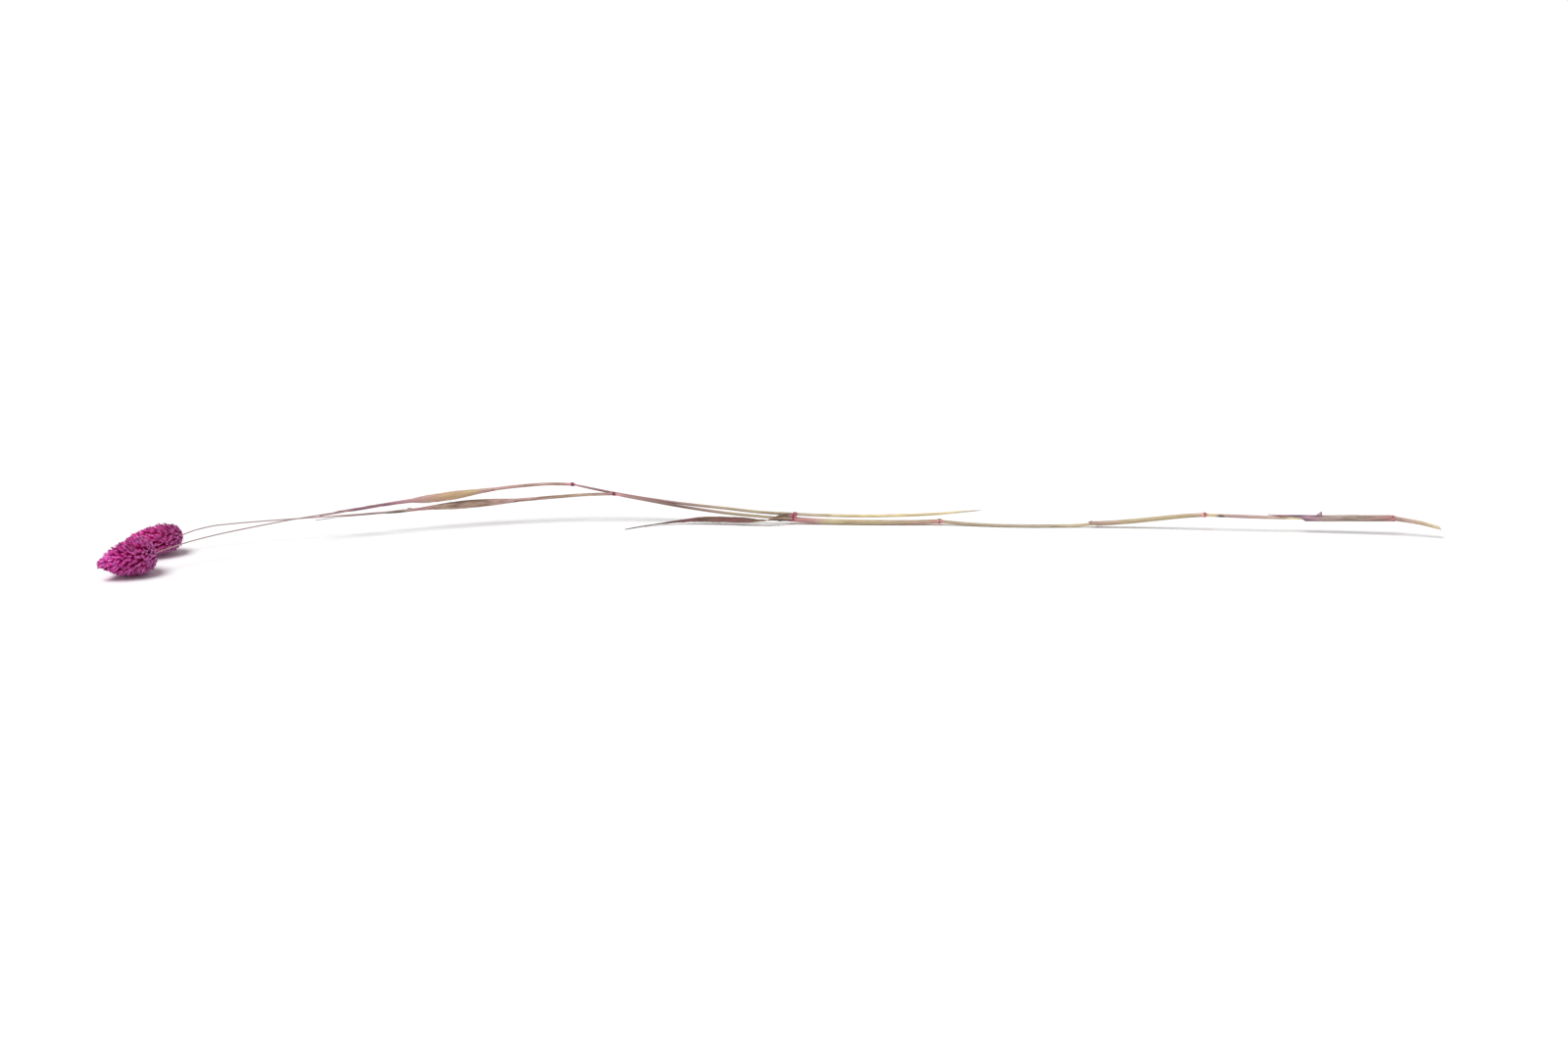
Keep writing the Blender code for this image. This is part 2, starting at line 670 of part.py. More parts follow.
def spikelet_rings(root, tip, tangent):
    """Rings of one keeled, pointed spikelet from its root to its tip."""
    along = unit(tip - root)
    outward = np.cross(along, tangent)
    if outward @ np.array([0.0, root[1], root[2]]) < 0:
        outward = -outward
    rings = []
    for share, fullness in SPIKELET_OUTLINE:
        centre = root + (tip - root) * share
        half = tangent * SPIKELET_WIDTH * fullness / 2.0
        depth = outward * SPIKELET_DEPTH * fullness
        foot = centre - depth * (1.0 - SPIKELET_KEEL_SHARE)
        rings.append(np.array([foot - half, foot + half, foot + depth]))
    rings.append(tip)
    return rings


def spikelets(length, radius, draw):
    """Rings of every spikelet of a head along +X, set in a spiral with even spacing."""
    shares = np.linspace(0.0, 1.0, 400)
    covered = np.cumsum(head_radius(shares) + SPIKELET_SPREAD)
    wanted = (np.arange(SPIKELET_COUNT) + 0.5) / SPIKELET_COUNT * covered[-1]
    places = FIRST_TIP_PLACE + (1.0 - FIRST_TIP_PLACE) * np.interp(wanted, covered, shares)
    forward = np.array([1.0, 0.0, 0.0])
    made = []
    for number, place in enumerate(places):
        turn = number * GOLDEN_ANGLE + draw.normal() * SPIKELET_TURN_JITTER
        radial = np.array([0.0, math.cos(turn), math.sin(turn)])
        tangent = np.array([0.0, -math.sin(turn), math.cos(turn)])
        opening = (SPIKELET_LEAN_AT_BASE - SPIKELET_LEAN_AT_TIP) * (1.0 - place) ** SPIKELET_LEAN_CURVE
        lean = math.radians(SPIKELET_LEAN_AT_TIP + opening) + draw.normal() * SPIKELET_LEAN_JITTER
        out = radius * float(head_radius(min(place, LAST_TIP_PLACE)))
        out = out * (1.0 + draw.normal() * SPIKELET_REACH_JITTER)
        tip = forward * place * length + radial * out
        back = tip - SPIKELET_LENGTH * (math.cos(lean) * forward + math.sin(lean) * radial)
        root_along = min(max(back[0], FIRST_ROOT_PLACE * length), LAST_ROOT_PLACE * length)
        deepest = radius * CORE_SHARE * float(head_radius(root_along / length)) - SPIKELET_ROOT_SINK
        root_out = max(min(float(back @ radial), deepest), SPIKELET_ROOT_LEAST)
        made.append(spikelet_rings(forward * root_along + radial * root_out, tip, tangent))
    return made


def build_head(name, culm, tip, radius, seed, look):
    """A head: its core, the spikelets standing out of it, the socket and its rest."""
    base = culm.head_base
    length = float(np.linalg.norm(np.array(tip) - base))
    axis = culm.head_axis
    side = unit(np.cross(axis, (0.0, 0.0, 1.0)))
    turned = np.stack([axis, side, np.cross(side, axis)])

    def placed(rings):
        """Rings turned onto the head's axis."""
        return [ring @ turned + base for ring in rings]

    draw = np.random.default_rng(seed)
    pieces = [add_object(name, *loft(placed(core_rings(length, radius))))]
    for rings in spikelets(length, radius, draw):
        pieces.append(add_object("spikelet", *loft(placed(rings))))
    head = unite(name, pieces, look)
    cut_away(head, socket_cutter(culm))
    cut_away(head, surface_cutter(base + axis * length / 2.0, length))
    fill_pockets(head)
    return head


def socket_cutter(culm):
    """The hole that the end of the culm sits in, a fit gap wider than the culm."""
    radius = float(culm.radius(culm.head_base[0])) + FIT_GAP
    side = unit(np.cross(culm.head_axis, (0.0, 0.0, 1.0)))
    rings = []
    for along in (-SOCKET_MOUTH, SOCKET_DEPTH):
        centre = culm.head_base + culm.head_axis * along
        flare = SOCKET_FLARE if along < 0 else 0.0
        rings.append(ring_round(centre, np.cross(side, culm.head_axis), side, radius + flare))
    return add_object("socket", *loft(rings))


def surface_cutter(centre, reach):
    """A block under the surface, which presses the lowest spikelets flat."""
    depth = reach / 4.0
    corners = [(-1, -1), (1, -1), (1, 1), (-1, 1)]
    rings = []
    for level in (-depth, 0.0):
        rings.append(np.array([(centre[0] + x * reach, centre[1] + y * reach, level) for x, y in corners]))
    return add_object("surface", *loft(rings))


def build_main_flag_leaf():
    """The main culm's top leaf: sheath, folded blade and drawn-out tip."""
    stations = sheath_stations(MAIN_FLAG_SHEATH) + list(MAIN_FLAG_BLADE)
    return add_object("main_flag_leaf", *leaf_on_culm(MAIN_CULM, stations), "dyed_leaf")


def build_side_flag_leaf():
    """The side culm's top leaf: sheath, open blade and a tip twisted like a cord."""
    stations = sheath_stations(SIDE_FLAG_SHEATH) + list(SIDE_FLAG_BLADE)
    return add_object("side_flag_leaf", *leaf_on_culm(SIDE_CULM, stations), "dyed_leaf")


def build_middle_leaf():
    """The leaf whose collar clasps both culms, with its blade down to the surface."""
    sheath = add_object(
        "middle_leaf", *leaf_on_culm(MAIN_CULM, sheath_stations(MIDDLE_SHEATH)), "brown_leaf"
    )
    knots = np.array([(*place, width, roll, face, wall) for place, width, roll, face, wall in MIDDLE_BLADE])
    along = -knots[:, 0]
    rows = smooth_between(along, knots, np.linspace(along[0], along[-1], MIDDLE_BLADE_RINGS))
    width, roll, face, wall = rows[:, 3:].T
    blade = add_object("middle_blade", *leaf_solid(rows[:, :3], face, width, roll, np.ones_like(wall), wall))
    return unite("middle_leaf", [sheath, blade, clasp_ring()], "brown_leaf")


def clasp_ring():
    """The collar band round both culms: an oval tube with a fit gap to each."""
    turns = np.arange(CLASP_SIDES) * 2.0 * math.pi / CLASP_SIDES
    rings = []
    stations = np.linspace(CLASP_FROM, CLASP_TO, 4)
    for wall, order in ((CLASP_WALL, stations), (0.0, stations[::-1])):
        for station in order:
            low = MAIN_CULM.at(station)[0]
            high = SIDE_CULM.at(station)[0]
            _, upward, sideways = MAIN_CULM.frame(station)
            reach = float(MAIN_CULM.radius(station)) + FIT_GAP + wall
            ends = np.where((np.cos(turns) > 0)[:, None], high, low)
            spokes = np.cos(turns)[:, None] * upward[0] + np.sin(turns)[:, None] * sideways[0]
            ring = ends + reach * spokes
            ring[:, 0] += CLASP_LEAN * (ring[:, 2] - (low[2] + high[2]) / 2.0)
            rings.append(ring)
    vertices, faces = loft(rings)
    sides = CLASP_SIDES
    body = faces[: -2 * (sides - 2)]
    last = (len(rings) - 1) * sides
    for k in range(sides):
        after = (k + 1) % sides
        body.append((last + k, last + after, after))
        body.append((last + k, after, k))
    return add_object("clasp", vertices, body)


def build_lower_sheath():
    """The second sheath, its blade torn away."""
    stations = sheath_stations(LOWER_SHEATH) + list(LOWER_TEAR)
    return add_object("lower_sheath", *leaf_on_culm(MAIN_CULM, stations), "straw")


def build_base_sheath():
    """The lowest sheath, torn open, with a flap at its end and a stiff barb."""
    stations = sheath_stations(BASE_SHEATH) + list(BASE_TEAR)
    sheath = add_object("base_sheath", *leaf_on_culm(MAIN_CULM, stations), "straw")
    rings = []
    for place, rise, length in BARB_OUTLINE:
        tangent, upward, sideways = (row[0] for row in MAIN_CULM.frame(place))
        centre = MAIN_CULM.at(place)[0] + upward * (BASE_SHEATH[3] + rise)
        half_length = tangent * length / 2.0
        half_wall = sideways * BARB_WALL / 2.0
        corners = ((-1, -1), (1, -1), (1, 1), (-1, 1))
        rings.append(np.array([centre + half_length * u + half_wall * v for u, v in corners]))
    barb = add_object("barb", *loft(rings))
    return unite("base_sheath", [sheath, barb], "straw")


def main():
    """Build every piece of the dried grass."""
    clear_objects()
    build_main_stem()
    build_side_stem()
    build_main_flag_leaf()
    build_side_flag_leaf()
    build_middle_leaf()
    build_lower_sheath()
    build_base_sheath()
    build_head("main_head", MAIN_CULM, MAIN_HEAD_TIP, MAIN_HEAD_RADIUS, 11, "deep_magenta_head")
    build_head("side_head", SIDE_CULM, SIDE_HEAD_TIP, SIDE_HEAD_RADIUS, 23, "magenta_head")
    for piece in bpy.data.objects:
        piece.data.shade_smooth()
        piece.data.set_sharp_from_angle(angle=math.radians(40.0))


main()
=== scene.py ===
"""Looks of the dried canary grass: fine culms, leaves and seed heads round a fixed frame.

Sizes are in millimetres and angles in degrees; a piece turns into metres when its mesh is
made. A clock angle goes round a culm: 0 is up, 90 is away from the viewer, 180 is down.
"""

import logging
import math
from dataclasses import dataclass, field
from enum import Enum

import bpy
import numpy as np
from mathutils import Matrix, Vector


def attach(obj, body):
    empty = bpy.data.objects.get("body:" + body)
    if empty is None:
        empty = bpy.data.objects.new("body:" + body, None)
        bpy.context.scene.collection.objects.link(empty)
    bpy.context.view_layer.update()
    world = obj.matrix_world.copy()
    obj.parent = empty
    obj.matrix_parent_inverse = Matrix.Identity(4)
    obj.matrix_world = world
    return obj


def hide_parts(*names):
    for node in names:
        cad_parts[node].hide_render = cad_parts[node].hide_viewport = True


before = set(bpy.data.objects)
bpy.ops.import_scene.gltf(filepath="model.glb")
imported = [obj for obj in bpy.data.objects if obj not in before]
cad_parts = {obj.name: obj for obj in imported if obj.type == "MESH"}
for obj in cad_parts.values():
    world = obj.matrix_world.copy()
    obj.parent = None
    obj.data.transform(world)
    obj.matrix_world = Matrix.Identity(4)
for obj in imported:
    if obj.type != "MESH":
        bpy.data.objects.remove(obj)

LOG = logging.getLogger("canary_grass")
MM = 0.001
FULL_TURN = 2.0 * math.pi
GOLDEN_ANGLE = math.pi * (3.0 - math.sqrt(5.0))

# Straight up, and a direction that no stray fibre runs along
UP = (0.0, 0.0, 1.0)
ASKEW = (0.31, 0.23, 0.92)

Triple = tuple[float, float, float]
Stops = tuple[tuple[float, Triple], ...]
Patches = tuple[tuple[float, float, float, float, float], ...]
Rows = tuple[tuple[float, ...], ...]
Socket = bpy.types.NodeSocket
Value = Socket | float | Triple

# Both ends of the stretch that colours along the part are given for
LEFT_END = -360.0
RIGHT_END = 360.0


class Side(Enum):
    """The two faces of a leaf, as its finish reads them."""

    OUTER = 0.0
    INNER = 1.0


def srgb(red: int, green: int, blue: int) -> Triple:
    """Linear colour of a display colour.

    Args:
        red: red from 0 to 255.
        green: green from 0 to 255.
        blue: blue from 0 to 255.

    Returns:
        The same colour as linear light from 0 to 1.
    """
    shares = [channel / 255.0 for channel in (red, green, blue)]
    return tuple(s / 12.92 if s <= 0.04045 else ((s + 0.055) / 1.055) ** 2.4 for s in shares)


def unit(vectors: np.ndarray) -> np.ndarray:
    """Vectors of length one, along the last axis."""
    vectors = np.asarray(vectors, float)
    return vectors / np.linalg.norm(vectors, axis=-1, keepdims=True)


def smooth_between(knots: np.ndarray, values: np.ndarray, wanted: np.ndarray) -> np.ndarray:
    """A smooth curve through values at rising knots that never swings past them.

    Each piece is a cubic Hermite curve whose slopes are harmonic means of the slopes of its
    neighbours, and zero where those have different signs.

    Args:
        knots: rising places of the values.
        values: one row of values for each knot.
        wanted: places to work out.

    Returns:
        One row of values for each wanted place.
    """
    knots = np.asarray(knots, float)
    values = np.asarray(values, float)
    wanted = np.asarray(wanted, float)
    gaps = np.diff(knots)[:, None]
    rise = np.diff(values, axis=0) / gaps
    slopes = np.zeros_like(values)
    slopes[0] = rise[0]
    slopes[-1] = rise[-1]
    same_way = rise[:-1] * rise[1:] > 0
    safe = np.where(same_way, rise[:-1] + rise[1:], 1.0)
    slopes[1:-1] = np.where(same_way, 2.0 * rise[:-1] * rise[1:] / safe, 0.0)
    cell = np.clip(np.searchsorted(knots, wanted, side="right") - 1, 0, len(gaps) - 1)
    width = gaps[cell]
    t = (wanted - knots[cell])[:, None] / width
    return (
        (2 * t**3 - 3 * t**2 + 1) * values[cell]
        + (t**3 - 2 * t**2 + t) * width * slopes[cell]
        + (3 * t**2 - 2 * t**3) * values[cell + 1]
        + (t**3 - t**2) * width * slopes[cell + 1]
    )


def fine_rows(rows: Rows, step: float) -> np.ndarray:
    """Rows of numbers, the first of which falls, smoothed at fine steps of it."""
    knots = np.array(rows)
    along = -knots[:, 0]
    count = round(float(along[-1] - along[0]) / step) + 1
    return smooth_between(along, knots, np.linspace(along[0], along[-1], count))


def lengths_along(points: np.ndarray) -> np.ndarray:
    """How far along a line each of its points is from the start."""
    return np.concatenate([[0.0], np.cumsum(np.linalg.norm(np.diff(points, axis=0), axis=1))])


def fading(value: np.ndarray, full: float, gone: float) -> np.ndarray:
    """1 where a value is full, falling evenly to 0 where it is gone."""
    return np.clip((gone - value) / (gone - full), 0.0, 1.0)


def tangents_of(points: np.ndarray) -> np.ndarray:
    """Tangents along a line or along several lines."""
    return unit(np.gradient(points, axis=-2))


def upright(tangents: np.ndarray) -> tuple[np.ndarray, np.ndarray, np.ndarray]:
    """The tangents again, with the upward and the sideways direction across each."""
    sideways = unit(np.cross(tangents, UP))
    return tangents, np.cross(sideways, tangents), sideways


def on_clock(upward: np.ndarray, sideways: np.ndarray, degrees: np.ndarray) -> np.ndarray:
    """Direction at a clock angle: cosine of the upward plus sine of the sideways one."""
    turn = np.radians(degrees)[..., None]
    return np.cos(turn) * upward + np.sin(turn) * sideways


def turns_round(sides: int) -> np.ndarray:
    """The turns of a ring's points, in radians."""
    return np.arange(sides) * FULL_TURN / sides


def spokes(turns: np.ndarray, first: np.ndarray, second: np.ndarray) -> np.ndarray:
    """Directions at each turn from a first direction to a second, for each row of those."""
    return np.cos(turns)[:, None] * first[..., None, :] + np.sin(turns)[:, None] * second[..., None, :]


def ripple(places: np.ndarray, wavelength: float, draw: np.random.Generator) -> np.ndarray:
    """A wandering value between about -1 and 1: five sine waves with random phases.

    Args:
        places: where the value is wanted.
        wavelength: the longest wave.
        draw: source of the phases.

    Returns:
        One value for each place.
    """
    waves, spacing, calm = 5, 0.9, 1.5
    order = np.arange(1.0, waves + 1.0)
    phases = draw.uniform(0.0, FULL_TURN, waves)
    heights = np.sin(FULL_TURN * places[..., None] * order**spacing / wavelength + phases)
    return (heights / order).sum(axis=-1) / calm


def press_flat(points: np.ndarray, softness: float = 0.35) -> np.ndarray:
    """Points with those under the surface laid on it.

    Below the softness the height falls off as an exponential, so nothing passes zero and
    two walls never meet.
    """
    pressed = points.copy()
    height = pressed[..., 2]
    under = softness * np.exp(np.minimum(height, softness) / softness - 1.0)
    pressed[..., 2] = np.where(height < softness, under, height)
    return pressed


def grid_corners(
    rows: int, columns: int, round_rows: bool = False, round_columns: bool = False
) -> tuple[np.ndarray, np.ndarray]:
    """Corners of the quads of a grid, counted past the end where the grid closes.

    Args:
        rows: rows of points.
        columns: columns of points.
        round_rows: the last row joins the first.
        round_columns: the last column joins the first.

    Returns:
        The row and the column of the four corners of each quad.
    """
    down, right = np.meshgrid(
        np.arange(rows if round_rows else rows - 1),
        np.arange(columns if round_columns else columns - 1),
        indexing="ij",
    )
    down = down.ravel()
    right = right.ravel()
    return np.stack([down, down, down + 1, down + 1], 1), np.stack([right, right + 1, right + 1, right], 1)


@dataclass
class Shape:
    """Points and faces of a closed mesh, with what its finish reads.

    The map holds one across and one along value for each corner of each face, and marks
    holds one value for each point under each name.
    """

    points: np.ndarray
    faces: list[np.ndarray]
    maps: list[np.ndarray]
    marks: dict[str, np.ndarray] = field(default_factory=dict)

    def volume(self) -> float:
        """Signed volume: the sum of the tetrahedra from the origin to each face's fan."""
        total = 0.0
        for faces in self.faces:
            for corner in range(1, faces.shape[1] - 1):
                a, b, c = (self.points[faces[:, k]] for k in (0, corner, corner + 1))
                total += float(np.einsum("ij,ij->i", a, np.cross(b, c)).sum()) / 6.0
        return total

    def turned_out(self) -> "Shape":
        """The shape with its faces pointing outwards."""
        if self.volume() >= 0.0:
            return self
        return Shape(
            self.points,
            [faces[:, ::-1] for faces in self.faces],
            [corners[:, ::-1] for corners in self.maps],
            self.marks,
        )


def joined(shapes: list[Shape]) -> Shape:
    """Several shapes as one, each kept closed by itself."""
    starts = np.cumsum([0] + [len(shape.points) for shape in shapes])
    faces = [indices + start for shape, start in zip(shapes, starts) for indices in shape.faces]
    maps = [corners for shape in shapes for corners in shape.maps]
    marks = {name: np.concatenate([shape.marks[name] for shape in shapes]) for name in shapes[0].marks}
    return Shape(np.vstack([shape.points for shape in shapes]), faces, maps, marks)


def tube(rings: np.ndarray, along: np.ndarray) -> Shape:
    """A closed body through rings, with a pole in the middle of each end ring.

    Args:
        rings: rings by points by coordinates.
        along: the along value of each ring.

    Returns:
        The body, its across value going once round each ring.
    """
    rows, sides, _ = rings.shape
    down, right = grid_corners(rows, sides, round_columns=True)
    body = down * sides + right % sides
    body_map = np.stack([right / sides, along[down]], axis=-1)
    step = np.arange(sides)
    after = (step + 1) % sides
    last = (rows - 1) * sides
    pole = np.full(sides, rows * sides)
    caps = [np.stack([after, step, pole], 1), np.stack([last + step, last + after, pole + 1], 1)]
    halfway = step + 0.5
    cap_across = [np.stack([step + 1, step, halfway], 1), np.stack([step, step + 1, halfway], 1)]
    cap_along = np.repeat(along[[0, -1]], sides)[:, None] * np.ones(3)
    cap_map = np.stack([np.concatenate(cap_across) / sides, cap_along], axis=-1)
    points = np.vstack([rings.reshape(-1, 3), rings[0].mean(axis=0), rings[-1].mean(axis=0)])
    return Shape(points, [body, np.concatenate(caps)], [body_map, cap_map]).turned_out()


def sheets(outer: np.ndarray, inner: np.ndarray, along: np.ndarray) -> Shape:
    """Closed thin sheets, one for each pair of grids, stitched round their borders.

    Args:
        outer: sheets by rows by columns by coordinates, of the outer face.
        inner: the same for the inner face.
        along: the along value of each row.

    Returns:
        All sheets, with a mark that says which face a point is on.
    """
    count, rows, columns, _ = outer.shape
    half = rows * columns
    down, right = grid_corners(rows, columns)
    quads = [(down, right, down * 0), (down[:, ::-1], right[:, ::-1], down * 0 + 1)]
    borders = ((rows, 0, 1), (rows, columns - 1, -1), (columns, 0, -1), (columns, rows - 1, 1))
    for order, (count_along, border, way) in enumerate(borders):
        start = np.arange(count_along - 1)
        run = np.stack([start, start + 1, start + 1, start], 1)[:, ::way]
        fixed = np.full_like(run, border)
        wall = np.tile([0, 0, 1, 1], (len(start), 1))[:, ::way]
        quads.append((run, fixed, wall) if order < 2 else (fixed, run, wall))
    down, right, wall = (np.concatenate(part) for part in zip(*quads))
    corners = down * columns + right + wall * half
    corner_map = np.stack([right / (columns - 1), along[down]], axis=-1)
    faces = (corners[None] + (np.arange(count) * 2 * half)[:, None, None]).reshape(-1, 4)
    maps = np.tile(corner_map, (count, 1, 1))
    points = np.concatenate([outer.reshape(count, half, 3), inner.reshape(count, half, 3)], axis=1)
    inside = np.tile(np.repeat([Side.OUTER.value, Side.INNER.value], half), count)
    return Shape(points.reshape(-1, 3), [faces], [maps], {"inside": inside}).turned_out()


def ring_band(rings: np.ndarray, along: np.ndarray) -> Shape:
    """A closed band: rings up its outer face and back down its inner one."""
    rows, sides, _ = rings.shape
    down, right = grid_corners(rows, sides, round_rows=True, round_columns=True)
    faces = (down % rows) * sides + right % sides
    maps = np.stack([right / sides, along[down % rows]], axis=-1)
    inside = np.repeat(np.arange(rows) >= rows // 2, sides).astype(float)
    return Shape(rings.reshape(-1, 3), [faces], [maps], {"inside": inside}).turned_out()


def part_share(x: float) -> float:
    """A place along X as a share of the stretch that colours are given for."""
    return (x - LEFT_END) / (RIGHT_END - LEFT_END)


class Graph:
    """Short ways to add nodes to a node tree."""

    def __init__(self, tree: bpy.types.NodeTree) -> None:
        """Keep the tree that nodes are added to."""
        self.tree = tree

    def feed(self, socket: Socket, value: Value) -> None:
        """Link a socket to another one, or give it a plain value."""
        if isinstance(value, Socket):
            self.tree.links.new(value, socket)
        elif isinstance(value, tuple) and socket.type == "RGBA":
            socket.default_value = (*value, 1.0)
        else:
            socket.default_value = value

    def add(self, kind: str, inputs: dict | None = None, **settings) -> bpy.types.Node:
        """A node of a kind, with its settings and what feeds its inputs."""
        node = self.tree.nodes.new(kind)
        for name, value in settings.items():
            setattr(node, name, value)
        for name, value in (inputs or {}).items():
            self.feed(node.inputs[name], value)
        return node

    def maths(self, operation: str, *values: Value, clamp: bool = False) -> Socket:
        """The result of one maths node."""
        node = self.add("ShaderNodeMath", dict(enumerate(values)), operation=operation, use_clamp=clamp)
        return node.outputs[0]

    def times(self, first: Value, second: Value) -> Socket:
        """The product of two values."""
        return self.maths("MULTIPLY", first, second)

    def line(self, value: Socket, slope: float, start: Value, clamp: bool = False) -> Socket:
        """A value times a slope, plus a start."""
        return self.maths("MULTIPLY_ADD", value, slope, start, clamp=clamp)

    def mix(self, share: Value, first: Value, second: Value, blend: str = "MIX") -> Socket:
        """A mix of two colours."""
        inputs = {0: share, 6: first, 7: second}
        return self.add("ShaderNodeMix", inputs, data_type="RGBA", blend_type=blend).outputs[2]

    def lay(self, colour: Value, over: Value, share: Socket, amount: Value) -> Socket:
        """A colour with another laid over it, by a share times an amount."""
        return self.mix(self.times(share, amount), colour, over)

    def shaded(self, colour: Socket, shade: Socket) -> Socket:
        """A colour times a shade of grey."""
        grey = self.add("ShaderNodeCombineColor", dict.fromkeys(("Red", "Green", "Blue"), shade))
        return self.mix(1.0, colour, grey.outputs[0], "MULTIPLY")

    def between(self, value: Socket, low: float, high: float) -> Socket:
        """A smooth step from 0 at the low value to 1 at the high one."""
        inputs = {"Value": value, "From Min": low, "From Max": high}
        return self.add("ShaderNodeMapRange", inputs, interpolation_type="SMOOTHSTEP").outputs["Result"]

    def noise(self, vector: Socket, scale: float, detail: float) -> Socket:
        """The value of a noise texture."""
        return self.add("ShaderNodeTexNoise", {"Vector": vector, "Scale": scale, "Detail": detail}).outputs[0]

    def along_part(self, share: Socket, stops: Stops) -> Socket:
        """A colour that changes along the part, through stops at rising places."""
        node = self.add("ShaderNodeValToRGB", {0: share})
        elements = node.color_ramp.elements
        for element, (x, colour) in zip(elements, (stops[0], stops[-1])):
            element.position = part_share(x)
            element.color = (*colour, 1.0)
        for x, colour in stops[1:-1]:
            elements.new(part_share(x)).color = (*colour, 1.0)
        return node.outputs[0]

    def read(self, name: str) -> Socket:
        """A mark of the mesh."""
        return self.add("ShaderNodeAttribute", attribute_name=name).outputs["Fac"]

    def across_along(self) -> tuple[Socket, Socket]:
        """The two values of the piece's own map."""
        split = self.add("ShaderNodeSeparateXYZ", {0: self.add("ShaderNodeUVMap", uv_map="map").outputs[0]})
        return split.outputs[0], split.outputs[1]

    def off_middle(self, across: Socket) -> Socket:
        """How far an across value is off the middle, from 0 to 1."""
        return self.maths("ABSOLUTE", self.line(across, 2.0, -1.0))

    def place(self) -> tuple[Socket, Socket]:
        """The place on the piece in metres, and its X as a share of the part's length."""
        where = self.add("ShaderNodeTexCoord").outputs["Object"]
        x = self.add("ShaderNodeSeparateXYZ", {0: where}).outputs[0]
        return where, self.line(x, 1.0 / ((RIGHT_END - LEFT_END) * MM), part_share(0.0))

    def grain(self, across: Socket, along: Socket, fibres: float, contrast: float) -> tuple[Socket, Socket]:
        """The shade and the height of fine fibres along a surface."""
        inputs = {"Across": across, "Along": along, "Fibres": fibres, "Contrast": contrast}
        node = self.add("ShaderNodeGroup", inputs, node_tree=GRAIN)
        return node.outputs["Shade"], node.outputs["Height"]


def new_group(name: str, inputs: dict[str, str], outputs: dict[str, str]) -> tuple:
    """An empty node group with named sockets.

    Args:
        name: the group's name.
        inputs: Float, Color or Vector by input name.
        outputs: the same by output name.

    Returns:
        The group, its graph, what is given to it and the sockets of its results.
    """
    tree = bpy.data.node_groups.new(name, "ShaderNodeTree")
    for way, sockets in (("INPUT", inputs), ("OUTPUT", outputs)):
        for label, kind in sockets.items():
            tree.interface.new_socket(label, in_out=way, socket_type="NodeSocket" + kind)
    graph = Graph(tree)
    return tree, graph, graph.add("NodeGroupInput").outputs, graph.add("NodeGroupOutput").inputs


def fibre_grain_group() -> bpy.types.NodeTree:
    """Fine fibres along a plant's surface: noise on a cylinder, stretched along it.

    Its shade varies round 1 and its height from 0 to 1.
    """
    stretch, scale, detail = 0.35, 1.6, 3.0
    inputs = dict.fromkeys(("Across", "Along", "Fibres", "Contrast"), "Float")
    tree, graph, given, results = new_group("fibre grain", inputs, {"Shade": "Float", "Height": "Float"})
    angle = graph.times(given["Across"], FULL_TURN)
    girth = graph.times(given["Fibres"], 1.0 / FULL_TURN)
    turned = [graph.times(graph.maths(operation, angle), girth) for operation in ("COSINE", "SINE")]
    place = dict(enumerate([*turned, graph.times(given["Along"], stretch)]))
    fibres = graph.noise(graph.add("ShaderNodeCombineXYZ", place).outputs[0], scale, detail)
    middle = 0.5
    swing = graph.times(graph.maths("SUBTRACT", fibres, middle), given["Contrast"])
    graph.feed(results["Shade"], graph.maths("ADD", swing, 1.0))
    graph.feed(results["Height"], fibres)
    return tree


def stain_group() -> bpy.types.NodeTree:
    """Dye that took unevenly: a second colour in soft blotches and in sparse fine specks."""
    colours = dict.fromkeys(("Colour", "Dye", "Speck"), "Color")
    inputs = colours | {"Place": "Vector", "Amount": "Float", "Specks": "Float"}
    tree, graph, given, results = new_group("uneven dye", inputs, {"Colour": "Color"})
    blotches = graph.between(graph.noise(given["Place"], BLOTCH_SCALE, 3.0), 0.42, 0.66)
    dyed = graph.lay(given["Colour"], given["Dye"], blotches, given["Amount"])
    fine = graph.between(graph.noise(given["Place"], SPECK_SCALE, 1.0), 0.70, 0.75)
    graph.feed(results["Colour"], graph.lay(dyed, given["Speck"], fine, given["Specks"]))
    return tree


# Noise waves in a metre of the plant, from soft patches to fine specks
BLOTCH_SCALE = 90.0
LILAC_SCALE = 130.0
SEED_SCALE = 500.0
PAPER_SCALE = 600.0
LEAF_MOTTLE_SCALE = 900.0
SPECK_SCALE = 1300.0
STRAW_MOTTLE_SCALE = 1500.0
SPECK = srgb(96, 44, 66)
GRAIN = fibre_grain_group()
STAIN = stain_group()


@dataclass(frozen=True)
class Finish:
    """What every dry plant finish shares: its name, its roughness, its shine and its bumps.

    The depth of the bumps is in millimetres.
    """

    name: str
    roughness: float = 0.6
    specular: float = 0.3
    bump: float = 0.2
    depth: float = 0.05

    def surface(self, graph: Graph) -> tuple[Socket, Socket]:
        """The colour and the height of the bumps, which each kind makes in its own way."""
        raise NotImplementedError

    def material(self) -> bpy.types.Material:
        """The node material."""
        material = bpy.data.materials.new(self.name)
        material.use_nodes = True
        graph = Graph(material.node_tree)
        colour, height = self.surface(graph)
        inputs = {"Height": height, "Strength": self.bump, "Distance": self.depth * MM}
        bump = graph.add("ShaderNodeBump", inputs)
        shader = material.node_tree.nodes["Principled BSDF"]
        graph.feed(shader.inputs["Base Color"], colour)
        graph.feed(shader.inputs["Roughness"], self.roughness)
        graph.feed(shader.inputs["Specular IOR Level"], self.specular)
        graph.feed(shader.inputs["Normal"], bump.outputs[0])
        return material


